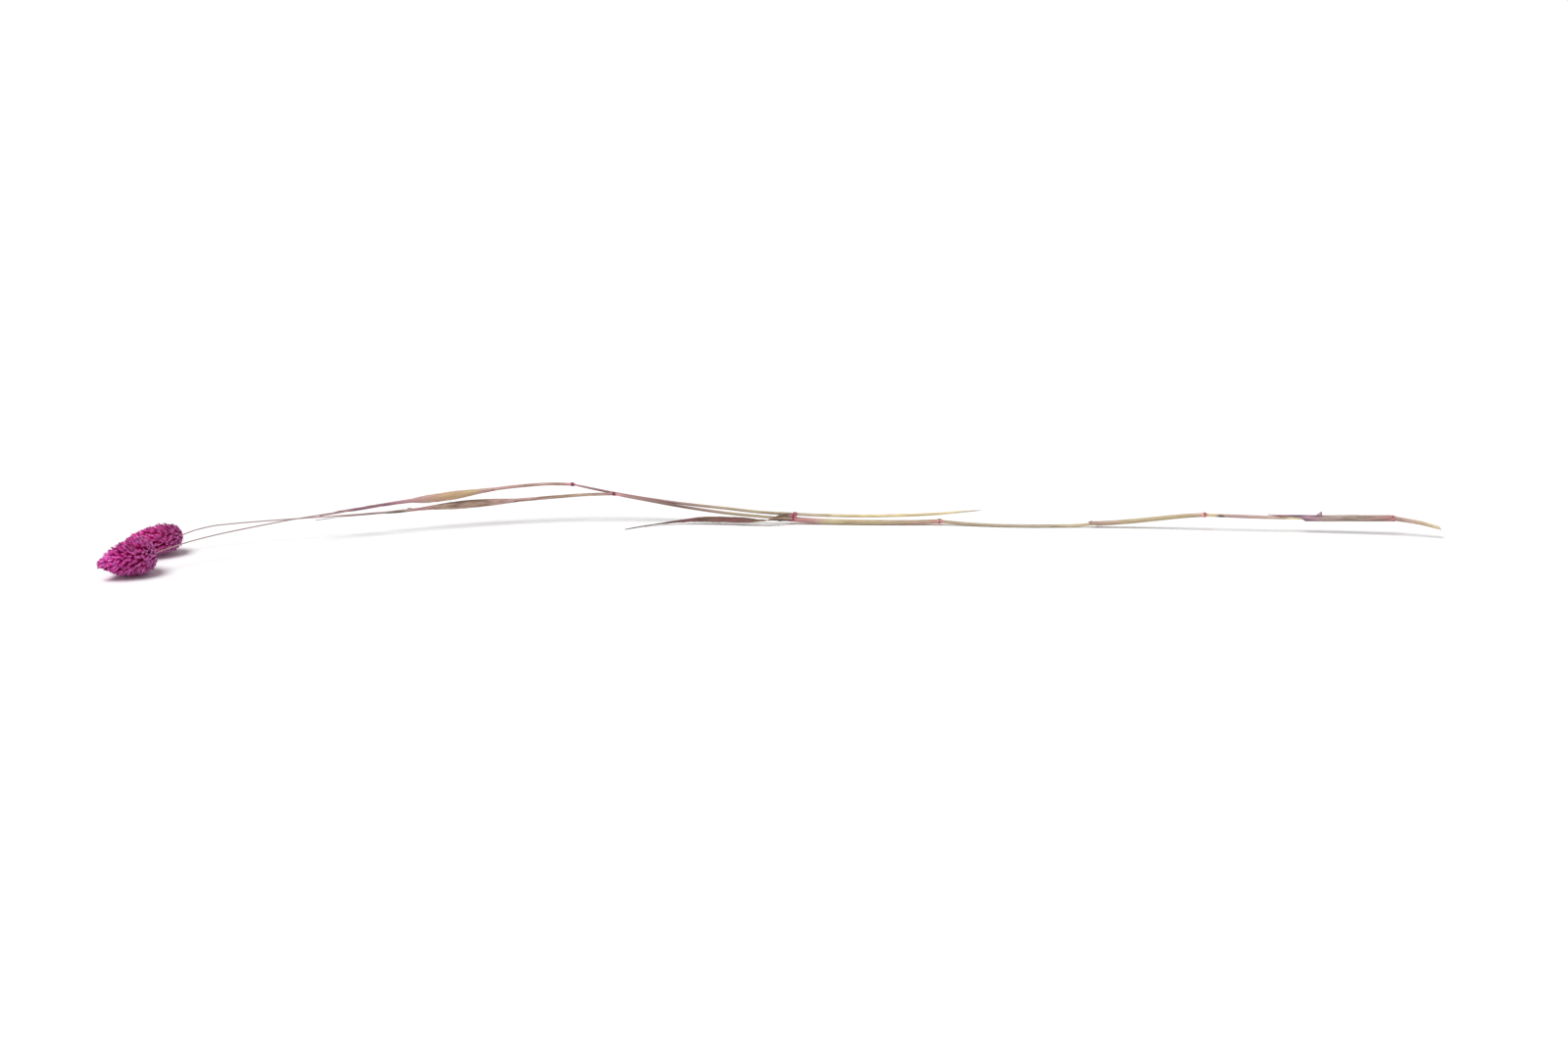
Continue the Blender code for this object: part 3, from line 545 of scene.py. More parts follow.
@dataclass(frozen=True)
class DyedFinish(Finish):
    """A dyed surface: colour by its place, streaks along it, uneven dye and sparse specks."""

    stops: Stops = ()
    dye: Triple = (0.3, 0.1, 0.15)
    dye_amount: float = 0.12
    streak: Triple = (0.25, 0.18, 0.12)
    streak_amount: float = 0.45
    streak_count: float = 8.0
    streak_shortness: float = 0.25
    fibres: float = 26.0
    contrast: float = 0.5
    specks: float = 0.0

    def dyed(
        self, graph: Graph, colour: Socket, across: Socket, along: Socket, where: Socket
    ) -> tuple[Socket, Socket]:
        """A colour with its streaks, dye and fibres, and the height of the fibres."""
        _, broad = graph.grain(across, graph.times(along, self.streak_shortness), self.streak_count, 0.0)
        colour = graph.lay(colour, self.streak, graph.between(broad, 0.46, 0.60), self.streak_amount)
        shade, height = graph.grain(across, along, self.fibres, self.contrast)
        inputs = {"Colour": colour, "Dye": self.dye, "Speck": SPECK, "Place": where}
        inputs |= {"Amount": self.dye_amount, "Specks": self.specks}
        stain = graph.add("ShaderNodeGroup", inputs, node_tree=STAIN)
        return graph.shaded(stain.outputs[0], shade), height


@dataclass(frozen=True)
class StrawFinish(DyedFinish):
    """A culm, with pink round its joints, dark marks on them, painted shade in the hollow of a cut end, and
    violet bruises.
    """

    roughness: float = 0.55
    streak_count: float = 6.0
    # Colour of the dark marks at the joints and of the painted shade inside a cut end's hollow
    spot_and_shade: Triple = srgb(104, 30, 54)
    halo: Triple = (0.6, 0.25, 0.3)
    bruise: Triple = (0.15, 0.06, 0.15)
    halo_amount: float = 0.85
    blotch_amount: float = 0.55

    def surface(self, graph: Graph) -> tuple[Socket, Socket]:
        """The colour and the height of the bumps."""
        across, along = graph.across_along()
        where, share = graph.place()
        colour, height = self.dyed(graph, graph.along_part(share, self.stops), across, along, where)
        pink = graph.read("pink")
        colour = graph.lay(colour, self.halo, pink, self.halo_amount)
        fine = graph.noise(where, STRAW_MOTTLE_SCALE, 1.0)
        blotches = graph.times(pink, graph.between(fine, 0.50, 0.68))
        colour = graph.lay(colour, self.spot_and_shade, blotches, self.blotch_amount)
        # Dark marks at the joints, and painted shade inside the hollow of a cut end, laid with a mottle
        mottle = graph.line(fine, 1.2, 0.45, clamp=True)
        colour = graph.lay(colour, self.spot_and_shade, graph.read("dark"), mottle)
        return graph.lay(colour, self.bruise, graph.read("bruised"), mottle), height


@dataclass(frozen=True)
class LeafFinish(DyedFinish):
    """A leaf: colour by place, its inner face, its margins, veins, dark specks and dark marks, some of which
    are painted shade.
    """

    roughness: float = 0.5
    inner_stops: Stops = ()
    margin: Triple = (0.4, 0.2, 0.2)
    margin_share: float = 0.5
    spot_and_shade: Triple = (0.2, 0.05, 0.1)
    veins: float = 15.0
    vein_shade: float = 0.05
    vein_bump: float = 0.35
    fibres: float = 60.0
    depth: float = 0.06

    def surface(self, graph: Graph) -> tuple[Socket, Socket]:
        """The colour and the height of the bumps."""
        across, along = graph.across_along()
        where, share = graph.place()
        faces = [graph.along_part(share, stops) for stops in (self.stops, self.inner_stops or self.stops)]
        colour = graph.mix(graph.read("inside"), *faces)
        edge = graph.between(graph.off_middle(across), 0.55, 0.98)
        colour = graph.lay(colour, self.margin, edge, self.margin_share)
        colour, height = self.dyed(graph, colour, across, along, where)
        # Dark marks laid with a mottle; on the pink tan flag leaf they are painted shade in its groove and on
        # its curled underside
        mottle = graph.line(graph.noise(where, LEAF_MOTTLE_SCALE, 1.0), 0.3, 0.75, clamp=True)
        colour = graph.lay(colour, self.spot_and_shade, graph.read("dark"), mottle)
        vein = graph.maths("COSINE", graph.times(across, FULL_TURN * self.veins))
        shaded = graph.shaded(colour, graph.line(vein, self.vein_shade, 0.98))
        return shaded, graph.line(vein, self.vein_bump, height)


@dataclass(frozen=True)
class GlumeFinish(Finish):
    """The papery scales of a head: deep at the root, pale at the margins, greyed tips."""

    specular: float = 0.12
    root: Triple = (0.1, 0.0, 0.03)
    body: Triple = (0.5, 0.05, 0.3)
    bright: Triple = (0.6, 0.1, 0.35)
    tip: Triple = (0.2, 0.05, 0.12)
    margin: Triple = (0.6, 0.3, 0.5)
    pale_base: Triple = (0.45, 0.2, 0.4)
    lilac_amount: float = 0.40
    margin_amount: float = 0.75
    keel_amount: float = 0.35
    tip_amount: float = 0.7
    fibres: float = 22.0
    contrast: float = 0.6

    def surface(self, graph: Graph) -> tuple[Socket, Socket]:
        """The colour and the height of the bumps."""
        across, along = graph.across_along()
        where, _ = graph.place()
        body = graph.mix(graph.read("tint"), self.body, self.bright)
        lilac = graph.between(graph.noise(where, LILAC_SCALE, 2.0), 0.50, 0.64)
        body = graph.lay(body, self.margin, lilac, self.lilac_amount)
        body = graph.mix(graph.between(graph.read("place"), 0.55, 0.05), body, self.pale_base)
        colour = graph.mix(graph.between(along, 0.18, 0.50), self.root, body)
        off_keel = graph.off_middle(across)
        wing = graph.times(graph.between(off_keel, 0.55, 1.0), graph.between(along, 0.35, 0.60))
        colour = graph.lay(colour, self.margin, wing, self.margin_amount)
        colour = graph.lay(colour, self.root, graph.between(off_keel, 0.20, 0.0), self.keel_amount)
        colour = graph.lay(colour, self.tip, graph.between(along, 0.78, 0.98), self.tip_amount)
        shade, height = graph.grain(across, along, self.fibres, self.contrast)
        mottled = graph.line(graph.noise(where, PAPER_SCALE, 2.0), 1.1, 0.45)
        return graph.shaded(colour, graph.times(shade, mottled)), height


@dataclass(frozen=True)
class GrainFinish(Finish):
    """A seed, a head's middle or a stray fibre: two colours, mottled."""

    low: Triple = (0.1, 0.05, 0.02)
    high: Triple = (0.3, 0.2, 0.1)
    fibres: float = 16.0
    contrast: float = 0.5

    def surface(self, graph: Graph) -> tuple[Socket, Socket]:
        """The colour and the height of the bumps."""
        where, _ = graph.place()
        shade, height = graph.grain(*graph.across_along(), self.fibres, self.contrast)
        blend = graph.between(graph.noise(where, SEED_SCALE, 2.0), 0.35, 0.65)
        return graph.shaded(graph.mix(blend, self.low, self.high), shade), height


def stand(name: str, data: bpy.types.ID) -> bpy.types.Object:
    """A new object of some data, in the scene."""
    thing = bpy.data.objects.new(name, data)
    bpy.context.scene.collection.objects.link(thing)
    return thing


def make_piece(name: str, shape: Shape, finish: Finish, node: str, crease: float = 45.0) -> None:
    """Make one dressed piece from a shape in millimetres.

    Args:
        name: the piece's name.
        shape: its points and faces.
        finish: what makes its material.
        node: the CAD node that it stands for.
        crease: faces that meet at more than this angle keep a sharp edge.
    """
    mesh = bpy.data.meshes.new(name)
    faces = [row for indices in shape.faces for row in indices.tolist()]
    mesh.from_pydata((shape.points * MM).tolist(), [], faces)
    layer = mesh.uv_layers.new(name="map")
    flat = np.concatenate([corners.reshape(-1, 2) for corners in shape.maps])
    layer.data.foreach_set("uv", flat.astype(np.float32).ravel())
    for mark, values in shape.marks.items():
        attribute = mesh.attributes.new(mark, "FLOAT", "POINT")
        attribute.data.foreach_set("value", np.asarray(values, np.float32))
    mesh.validate()
    mesh.shade_smooth()
    mesh.set_sharp_from_angle(angle=math.radians(crease))
    known = bpy.data.materials.get(finish.name)
    mesh.materials.append(known or finish.material())
    piece = stand(name, mesh)
    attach(piece, "root")
    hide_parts(node)
    LOG.info("%s: %d points, %d faces", name, len(mesh.vertices), len(mesh.polygons))


@dataclass
class Piece:
    """One dressed piece: its name, the CAD node that it stands for, its slot and finish."""

    name: str
    node: str
    slot: str
    finish: Finish

    def shape(self) -> Shape:
        """Its points and faces, which each kind makes in its own way."""
        raise NotImplementedError

    def build(self) -> None:
        """Make the piece."""
        make_piece(self.name, self.shape(), self.finish, self.node)


@dataclass
class Culm(Piece):
    """A jointed culm: its centre line, its girth and the rings of its fine surface.

    The pink reach is how far the colour of a joint spreads to its left and to its right.
    """

    route: Rows
    joints: tuple[float, ...]
    girth: Rows
    swells: tuple[float, ...]
    head_tip: Triple
    pink_reach: tuple[tuple[float, float], ...]
    dark_spots_and_shade: Patches
    bruises: Patches = ()
    sides: int = 28
    step: float = 0.9
    joint_step: float = 0.2
    joint_reach: float = 3.6
    rib_height: float = 0.018
    ribs: int = 14
    joint_half_length: float = 1.35
    seat_depth: float = 4.7

    def __post_init__(self) -> None:
        """Work out the centre line, with a bend at each joint."""
        route = np.array(self.route)
        bends = [int(np.argmin(np.abs(route[:, 0] - joint))) for joint in self.joints]
        ends = [0, *bends, len(route) - 1]
        runs = [fine_rows(route[start : end + 1], 1.0) for start, end in zip(ends, ends[1:])]
        self.line = np.vstack([runs[0]] + [run[1:] for run in runs[1:]])
        self.head_base = self.line[-1]
        self.head_axis = unit(np.array(self.head_tip) - self.head_base)
        self.tangents = tangents_of(self.line)

    def at(self, stations: np.ndarray, values: np.ndarray | None = None) -> np.ndarray:
        """Points of the line, or other values kept along it, at X stations."""
        values = self.line if values is None else values
        return np.stack([np.interp(-stations, -self.line[:, 0], column) for column in values.T], axis=1)

    def frame_at(self, stations: np.ndarray) -> tuple[np.ndarray, np.ndarray, np.ndarray]:
        """Tangent, upward and sideways direction at X stations."""
        return upright(unit(self.at(stations, self.tangents)))

    def radius(self, stations: np.ndarray) -> np.ndarray:
        """Girth at X stations, with a barrel-shaped swelling at each joint.

        The swelling falls off as the exponential of minus the distance cubed.
        """
        knots = np.array(self.girth)[::-1]
        radius = np.interp(stations, knots[:, 0], knots[:, 1])
        for joint, swell in zip(self.joints, self.swells):
            off = np.abs(stations - joint) / self.joint_half_length
            radius = radius + swell * np.exp(-(off**3))
        return radius

    def rings(self) -> tuple[np.ndarray, np.ndarray]:
        """Rings of the ribbed surface and the along value of each.

        The radius is the girth, times one plus a small cosine that makes the ribs.
        """
        first = self.line[0, 0]
        last = self.line[-1, 0]
        coarse = np.linspace(first, last, round((first - last) / self.step))
        close = np.arange(-self.joint_reach, self.joint_reach, self.joint_step)
        plain = [x for x in coarse if min(abs(x - joint) for joint in self.joints) > self.joint_reach]
        stations = np.sort(np.concatenate([plain, *(joint + close for joint in self.joints)]))[::-1]
        centres = self.at(stations)
        _, upward, sideways = self.frame_at(stations)
        radii = self.radius(stations)
        _, last_upward, last_sideways = upright(self.head_axis)
        centres = np.vstack([centres, self.head_base + self.head_axis * self.seat_depth])
        upward = np.vstack([upward, last_upward])
        sideways = np.vstack([sideways, last_sideways])
        radii = np.append(radii, radii[-1])
        turns = math.pi + turns_round(self.sides)
        ribbed = 1.0 + self.rib_height * np.cos(turns * self.ribs)
        reach = (radii[:, None] * ribbed)[..., None]
        return centres[:, None] + reach * spokes(turns, upward, sideways), lengths_along(centres)

    def body(self) -> Shape:
        """The whole culm as one closed body."""
        return tube(*self.rings())

    def shape(self) -> Shape:
        """The body, its points marked where joints are pink, where it has dark marks and painted shade, and
        where it is bruised.

        The pink is full to 0.6 of its reach and gone at 1.1 of it.
        """
        made = self.body()
        pink = np.zeros(len(made.points))
        for joint, (left, right) in zip(self.joints, self.pink_reach):
            off = made.points[:, 0] - joint
            share = fading(np.abs(off) / np.where(off > 0.0, right, left), 0.6, 1.1)
            pink = np.maximum(pink, share**2 * (3.0 - 2.0 * share))
        dark = self.dark_patch_share(made.points, self.dark_spots_and_shade)
        made.marks = {"pink": pink, "dark": dark, "bruised": self.dark_patch_share(made.points, self.bruises)}
        return made

    def dark_patch_share(self, points: np.ndarray, patches: Patches) -> np.ndarray:
        """How strongly each point lies in a soft oval patch, from 0 to 1.

        A patch is at its full strength to 0.6 of its size and gone at 1.4 of it. Some
        patches are dark marks of the plant and some are painted shade.

        Args:
            points: the points of a mesh.
            patches: place along X, clock angle, height over the culm's surface, half length
            and half width of each patch.

        Returns:
            One value for each point.
        """
        mark = np.zeros(len(points))
        beside = points - self.at(points[:, 0])
        for place, clock, reach, half_length, half_width in patches:
            station = np.array([place])
            _, upward, sideways = self.frame_at(station)
            direction = on_clock(upward, sideways, np.array([clock]))
            off = beside - (self.radius(station) + reach)[:, None] * direction
            lengthwise = (points[:, 0] - place) / half_length
            far = np.sqrt(lengthwise**2 + (off[:, 1] ** 2 + off[:, 2] ** 2) / half_width**2)
            mark = np.maximum(mark, fading(far, 0.6, 1.4))
        return mark


@dataclass
class CutCulm(Culm):
    """A culm with a slanted, slightly ragged cut and the blind end of its lumen."""

    slant: float = 1.2
    lumen_radius: float = 0.42
    lumen_depth: float = 9.0
    raggedness: float = 0.10

    def body(self) -> Shape:
        """Rings from the floor of the lumen, out over the cut rim and up the culm."""
        rings, along = self.rings()
        start = self.line[0]
        tangents, upward, _ = self.frame_at(start[:1])
        draw = np.random.default_rng(5)
        rim_length, wavelength = 6.0, 3.0
        ragged = ripple(np.arange(self.sides) / self.sides * rim_length, wavelength, draw) * self.raggedness
        rim = rings[0] + ragged[:, None] * tangents[0]
        rim = rim + np.outer((rim - start) @ upward[0] * self.slant, tangents[0])
        outward = rings[0] - start
        share = self.lumen_radius / np.linalg.norm(outward, axis=1)[:, None]
        mouth = start + outward * share
        mouth = mouth + np.outer((mouth - start) @ upward[0] * self.slant, tangents[0])
        inside = self.at(start[0] - self.lumen_depth * np.array([1.0, 0.5]))[:, None] + outward * share
        rings[0] = rim
        clearance = 0.1
        keep = rings[:, :, 0].max(axis=1) < rim[:, 0].min() - clearance
        keep[0] = True
        sections = np.concatenate([np.stack([*inside, mouth, (mouth + rim) / 2.0]), rings[keep]])
        lumen_along = (-9.0, -5.0, -1.0, -0.5)
        return tube(sections, np.concatenate([lumen_along, along[keep]]))


# A section is a rolled sheath from the first roll up, and an open blade from the second down
ROLLED = 250.0
OPEN = 130.0


@dataclass
class Leaf(Piece):
    """A leaf that follows a culm: a strip, rolled where it is a sheath, open in its blade.

    Each station is the place along X, the clock angle of the midrib, the reach from the
    culm's axis to it, the width and the roll of the section.
    """

    culm: Culm
    stations: Rows
    seed: int
    wall: float = 0.22
    columns: int = 25
    step: float = 0.7
    veins: float = 9.0
    vein_height: float = 0.035
    wave: float = 0.10
    margin_waves: tuple[float, float] = (9.0, 7.0)
    wander: float = 0.05
    wander_wave: float = 17.0
    ragged_start: float = 0.0
    ragged_end: float = 0.3
    overlap: float = 0.16
    thinning: float = 0.7
    thickest_share: float = 0.35
    softness: float = 0.1
    dark_spots_and_shade: Patches = ()

    def rows(self) -> tuple[np.ndarray, np.ndarray, np.ndarray, np.ndarray]:
        """Spine points, face angles, widths and rolls at fine steps."""
        x, clock, reach, width, roll = fine_rows(self.stations, self.step).T
        _, upward, sideways = self.culm.frame_at(x)
        spine = self.culm.at(x) + reach[:, None] * on_clock(upward, sideways, clock)
        return spine, clock + 180.0, width, roll

    def shape(self) -> Shape:
        """The strip as a closed sheet.

        Across the width the slope turns evenly, and stays where the margin wanders beyond
        it. A rolled sheath rises a little from one margin to the other, so that they
        overlap. The outer face carries veins, the wall thins to the margins, and the
        margins and the torn ends wander.
        """
        draw = np.random.default_rng(self.seed)
        spine, facing, width, roll = self.rows()
        share = np.linspace(-0.5, 0.5, self.columns)
        length = lengths_along(spine)
        open_blade = fading(roll, OPEN, ROLLED)
        wander = 1.0 + open_blade * self.wander * ripple(length, self.wander_wave, draw)
        across = share[None] * (width * wander)[:, None]
        steepest = np.radians(np.maximum(roll, 0.01)) / 2.0
        half_width = width[:, None] / 2.0
        curvature = steepest[:, None] / half_width
        inside = np.clip(across, -half_width, half_width)
        beyond = across - inside
        angle = inside * curvature
        side = np.sin(angle) / curvature + beyond * np.cos(steepest)[:, None]
        rise = (1.0 - np.cos(angle)) / curvature + np.abs(beyond) * np.sin(steepest)[:, None]
        tangents, upward, sideways = upright(tangents_of(spine))
        normal = on_clock(upward, sideways, facing)
        lateral = np.cross(tangents, normal)
        middle = spine[:, None] + side[..., None] * lateral[:, None] + rise[..., None] * normal[:, None]
        face = np.cos(angle)[..., None] * normal[:, None] - np.sin(angle)[..., None] * lateral[:, None]
        waves = np.stack([ripple(length, wavelength, draw) for wavelength in self.margin_waves])
        margin = np.abs(share * 2.0)
        wave = np.where(share[None] < 0, waves[0][:, None], waves[1][:, None]) * margin**4
        rolled = (1.0 - open_blade)[:, None] * (share[None] + 0.5) * self.overlap
        lift = wave * self.wave * open_blade[:, None] * np.minimum(width, 2.0)[:, None] / 2.0 - rolled
        middle = middle + face * lift[..., None]
        middle = middle + self.raggedness(length, draw)[..., None] * tangents[:, None]
        half_wall = self.wall / 2.0 * (1.0 - self.thinning * margin**6)
        half_wall = np.minimum(half_wall[None], width[:, None] * self.thickest_share)
        vein = self.vein_height * (0.5 + 0.5 * np.cos(FULL_TURN * self.veins * (share + 0.5)))
        outer = middle - face * (half_wall + vein)[..., None]
        inner = middle + face * half_wall[..., None]
        outer, inner = (press_flat(face_points, self.softness)[None] for face_points in (outer, inner))
        made = sheets(outer, inner, length)
        made.marks["dark"] = self.culm.dark_patch_share(made.points, self.dark_spots_and_shade)
        return made

    def raggedness(self, length: np.ndarray, draw: np.random.Generator) -> np.ndarray:
        """How far each point is moved along the leaf, so that its ends are torn unevenly."""
        spread, least, sharpness = 4.0, 0.1, 1.5
        shift = np.zeros((len(length), self.columns))
        for amount, off_end in ((self.ragged_start, length), (self.ragged_end, length[-1] - length)):
            reach = max(spread * amount, least)
            tears = draw.uniform(-1.0, 1.0, self.columns)
            shift += amount * tears * (fading(off_end, 0.0, reach) ** sharpness)[:, None]
        return shift


@dataclass
class FreeBlade(Leaf):
    """A blade that has left its culm.

    Each station is the midrib's point, the width, the roll and the clock angle that its
    upper side looks to.
    """

    def rows(self) -> tuple[np.ndarray, np.ndarray, np.ndarray, np.ndarray]:
        """Spine points, face angles, widths and rolls at fine steps."""
        x, y, z, width, roll, clock = fine_rows(self.stations, self.step).T
        return np.stack([x, y, z], axis=1), clock, width, roll


@dataclass
class Clasp(Piece):
    """The collar band that holds both culms: an oval round the two, a fit gap off each."""

    lower: Culm
    upper: Culm
    start: float = 8.9
    end: float = 5.8
    lean: float = 1.1
    narrowing: float = 0.15
    wall: float = 0.22
    gap: float = 0.16
    rows: int = 14
    sides: int = 72
    ragged: float = 0.15
    crumple: float = 0.25
    ribs: int = 22
    rib_height: float = 0.03

    def shape(self) -> Shape:
        """Rings whose upper half follows the upper culm and whose lower half the lower.

        It narrows towards its top, its lower side lies further back along X, both mouths
        are torn unevenly, the band is a little crumpled and its outer face carries veins.
        """
        draw = np.random.default_rng(3)
        turns = turns_round(self.sides)
        mouth_length, tear_wave, dent_wave = 20.0, 10.0, 7.0
        places = np.arange(self.sides) / self.sides * mouth_length
        tears = [ripple(places, tear_wave, draw) * self.ragged for _ in range(2)]
        dents = ripple(places, dent_wave, draw) * self.crumple
        out = np.linspace(self.start, self.end, self.rows)
        rings = []
        for wall, order in ((self.wall, out), (0.0, out[::-1])):
            low = self.lower.at(order)
            high = self.upper.at(order)
            _, upward, sideways = self.lower.frame_at(order)
            vein = (self.rib_height * np.cos(turns * self.ribs) + dents) * (wall > 0.0)
            reach = (self.lower.radius(order) + self.gap + wall)[:, None] + vein[None]
            ends = np.where((np.cos(turns) > 0)[None, :, None], high[:, None], low[:, None])
            ring = ends + reach[..., None] * spokes(turns, upward, sideways)
            share = fading(order, self.end, self.start)[:, None]
            ring[..., 0] += tears[0] * share**2 + tears[1] * (1.0 - share) ** 2
            rise = ring[..., 2] - (low[:, 2] + high[:, 2])[:, None] / 2.0
            above = np.clip(rise, 0.0, None)
            ring[..., 0] -= (ring[..., 0] - (self.start + self.end) / 2.0) * self.narrowing * above
            ring[..., 0] += self.lean * (rise - above)
            rings.append(ring)
        stations = np.concatenate([self.start - out, self.start - out[::-1]])
        return ring_band(np.concatenate(rings), stations)


def head_outline(share: np.ndarray) -> np.ndarray:
    """Radius over the spikelet tips as a share of the largest: a blunt base, a slim tip.

    The share to the power 0.42, times what is left of it to the power 0.86.
    """
    blunt, taper = 0.42, 0.86
    fullest = blunt / (blunt + taper)
    top = fullest**blunt * (1.0 - fullest) ** taper
    share = np.clip(share, 0.0, 1.0)
    return share**blunt * (1.0 - share) ** taper / top


@dataclass
class SeedHead:
    """A seed head: its dense middle, glumes in keeled pairs, florets and open grains."""

    name: str
    culm: Culm
    radius: float
    finish: GlumeFinish
    seed: int
    open_at: tuple[tuple[float, float], ...] = ()
    spikelets: int = 470
    first_tip: float = 0.085
    last_width_place: float = 0.93
    glume_reach: float = 0.15
    root_share: float = 0.56
    tip_share: float = 0.97
    slim_from: float = 0.80
    half_width: float = 0.70
    sway: float = 1.1
    fold: float = 0.75
    paper: float = 0.10
    keel_gap: float = 0.42
    tip_gap: float = 0.85
    pair_turn: float = 58.0
    rows: int = 7
    columns: int = 5
    last_tip: float = 0.975
    opened_gap: float = 1.7
    place_jitter: float = 0.012
    turn_jitter: float = 0.20
    reach_jitter: float = 0.13
    share_jitter: float = 0.055
    size_jitter: float = 0.09
    roll_jitter: float = 28.0
    root_limits: tuple[float, float] = (0.015, 0.80)
    slimming: tuple[float, float] = (0.2, 0.8)
    tip_spread: tuple[float, float] = (0.1, 1.5)
    scale_widths: Rows = ((0.0, 0.40), (0.28, 0.90), (0.5, 1.0), (0.72, 0.68), (0.88, 0.30), (1.0, 0.02))
    crease: float = 50.0
    floret_girth: float = 0.62
    floret_out: float = -0.1
    grain_girth: float = 0.75
    grain_out: float = 0.45
    grain_sides: int = 7
    grain_rings: int = 6
    core_share: float = 0.64
    core_end: float = 0.86
    core_rows: int = 40
    knob_height: float = 0.05

    def __post_init__(self) -> None:
        """Set the head's own directions and every spikelet's place and turn."""
        self.base = self.culm.head_base
        self.axis = self.culm.head_axis
        self.length = float(np.linalg.norm(np.array(self.culm.head_tip) - self.base))
        _, self.upward, self.side = upright(self.axis)
        self.draw = np.random.default_rng(self.seed)
        shares = np.linspace(0.0, 1.0, 400)
        least, base_crowd, crowd_reach = 0.10, 0.5, 0.12
        crowding = base_crowd * np.exp(-shares / crowd_reach)
        covered = np.cumsum(head_outline(shares) + least + crowding)
        wanted = (np.arange(self.spikelets) + 0.5) / self.spikelets * covered[-1]
        places = self.first_tip + (1.0 - self.first_tip) * np.interp(wanted, covered, shares)
        self.tips = places + self.jitter(self.place_jitter)
        self.turns = np.arange(self.spikelets) * GOLDEN_ANGLE + self.jitter(self.turn_jitter)
        self.tint = self.draw.uniform(0.0, 1.0, self.spikelets)

    def jitter(self, size: float) -> np.ndarray:
        """A random value round zero for each spikelet."""
        return self.draw.normal(0.0, size, self.spikelets)

    def outward(self, turns: np.ndarray) -> np.ndarray:
        """Direction away from the head's axis at a turn."""
        return spokes(turns, self.upward, self.side)

    def spines(self) -> tuple[np.ndarray, np.ndarray]:
        """Middle line of each spikelet and the outward direction along it.

        A spikelet starts inside the head, further back than its tip, and its distance
        from the axis grows from the root's share of the outline to the tip's share. It
        sways sideways with the square of the way along it.
        """
        u = np.linspace(0.0, 1.0, self.rows)[None]
        reach = self.glume_reach * (1.0 + self.jitter(self.reach_jitter))
        tips = np.minimum(self.tips, self.last_tip)
        roots = np.clip(tips - reach, *self.root_limits)
        place = roots[:, None] + (tips - roots)[:, None] * u**0.85
        tip_share = self.tip_share + self.jitter(self.share_jitter)
        near_tip = 1.0 - fading(self.tips, self.slim_from, 1.0)
        tip_share = tip_share * (1.0 - near_tip * self.draw.uniform(*self.slimming, self.spikelets))
        share = self.root_share + (tip_share[:, None] - self.root_share) * u**1.15
        around = self.radius * head_outline(np.minimum(place, self.last_width_place))
        radial = self.outward(self.turns)[:, None]
        points = self.base + place[..., None] * self.length * self.axis
        points = points + (share * around)[..., None] * radial
        swayed = self.sway * self.jitter(1.0)[:, None] * u**2
        points = points + swayed[..., None] * np.cross(self.axis, radial)
        return points, np.broadcast_to(radial, points.shape)

    def glumes(self, points: np.ndarray, radial: np.ndarray) -> Shape:
        """Two folded, keeled scales for each spikelet, with their keels apart.

        Across a scale the wings fall back from the keel as the distance from it to the
        power 1.4. The width rises to the middle and runs out in a point.
        """
        u = np.linspace(0.0, 1.0, self.rows)
        knots = np.array(self.scale_widths)
        width = self.half_width * smooth_between(knots[:, 0], knots[:, 1:], u)[:, 0]
        size = 1.0 + self.jitter(self.size_jitter)
        v = np.linspace(-1.0, 1.0, self.columns)
        roll = self.jitter(self.roll_jitter)
        apart = np.ones(self.spikelets)
        apart[self.opened()] = self.opened_gap
        tangents = tangents_of(points)
        normal = unit(radial - (radial * tangents).sum(axis=-1, keepdims=True) * tangents)
        lateral = np.cross(tangents, normal)
        made = []
        for turn in (-self.pair_turn, self.pair_turn):
            spread = self.draw.uniform(*self.tip_spread, self.spikelets)[:, None]
            angle = np.radians(roll + turn)[:, None, None]
            keel = np.cos(angle) * normal + np.sin(angle) * lateral
            wing = np.cross(tangents, keel)
            lift = self.keel_gap * np.sin(math.pi * u)[None] ** 0.8 + self.tip_gap * spread * u[None] ** 3
            middle = points + keel * (lift * apart[:, None])[..., None]
            half = (width[None] * size[:, None])[..., None, None]
            outer = middle[:, :, None] + wing[:, :, None] * half * v[:, None]
            outer = outer - keel[:, :, None] * half * self.fold * (np.abs(v) ** 1.4)[:, None]
            thin = self.paper * (1.0 - 0.8 * u**4)[None, :, None, None]
            inner = outer - keel[:, :, None] * thin
            made.append(sheets(press_flat(outer), press_flat(inner), u))
        per_sheet = 2 * self.rows * self.columns
        for shape in made:
            shape.marks["tint"] = np.repeat(self.tint, per_sheet)
            shape.marks["place"] = np.repeat(self.tips, per_sheet)
        return joined(made)

    def opened(self) -> list[int]:
        """The spikelets nearest to the open places, which show their grains."""
        round_weight, along_weight = 2.0, 6.0
        chosen = []
        for place, clock in self.open_at:
            turn = math.radians(clock)
            off_round = (np.cos(self.turns - turn) - 1.0) * round_weight
            off_along = ((self.tips - place) * along_weight) ** 2
            chosen.append(int(np.argmax(off_round - off_along)))
        return chosen

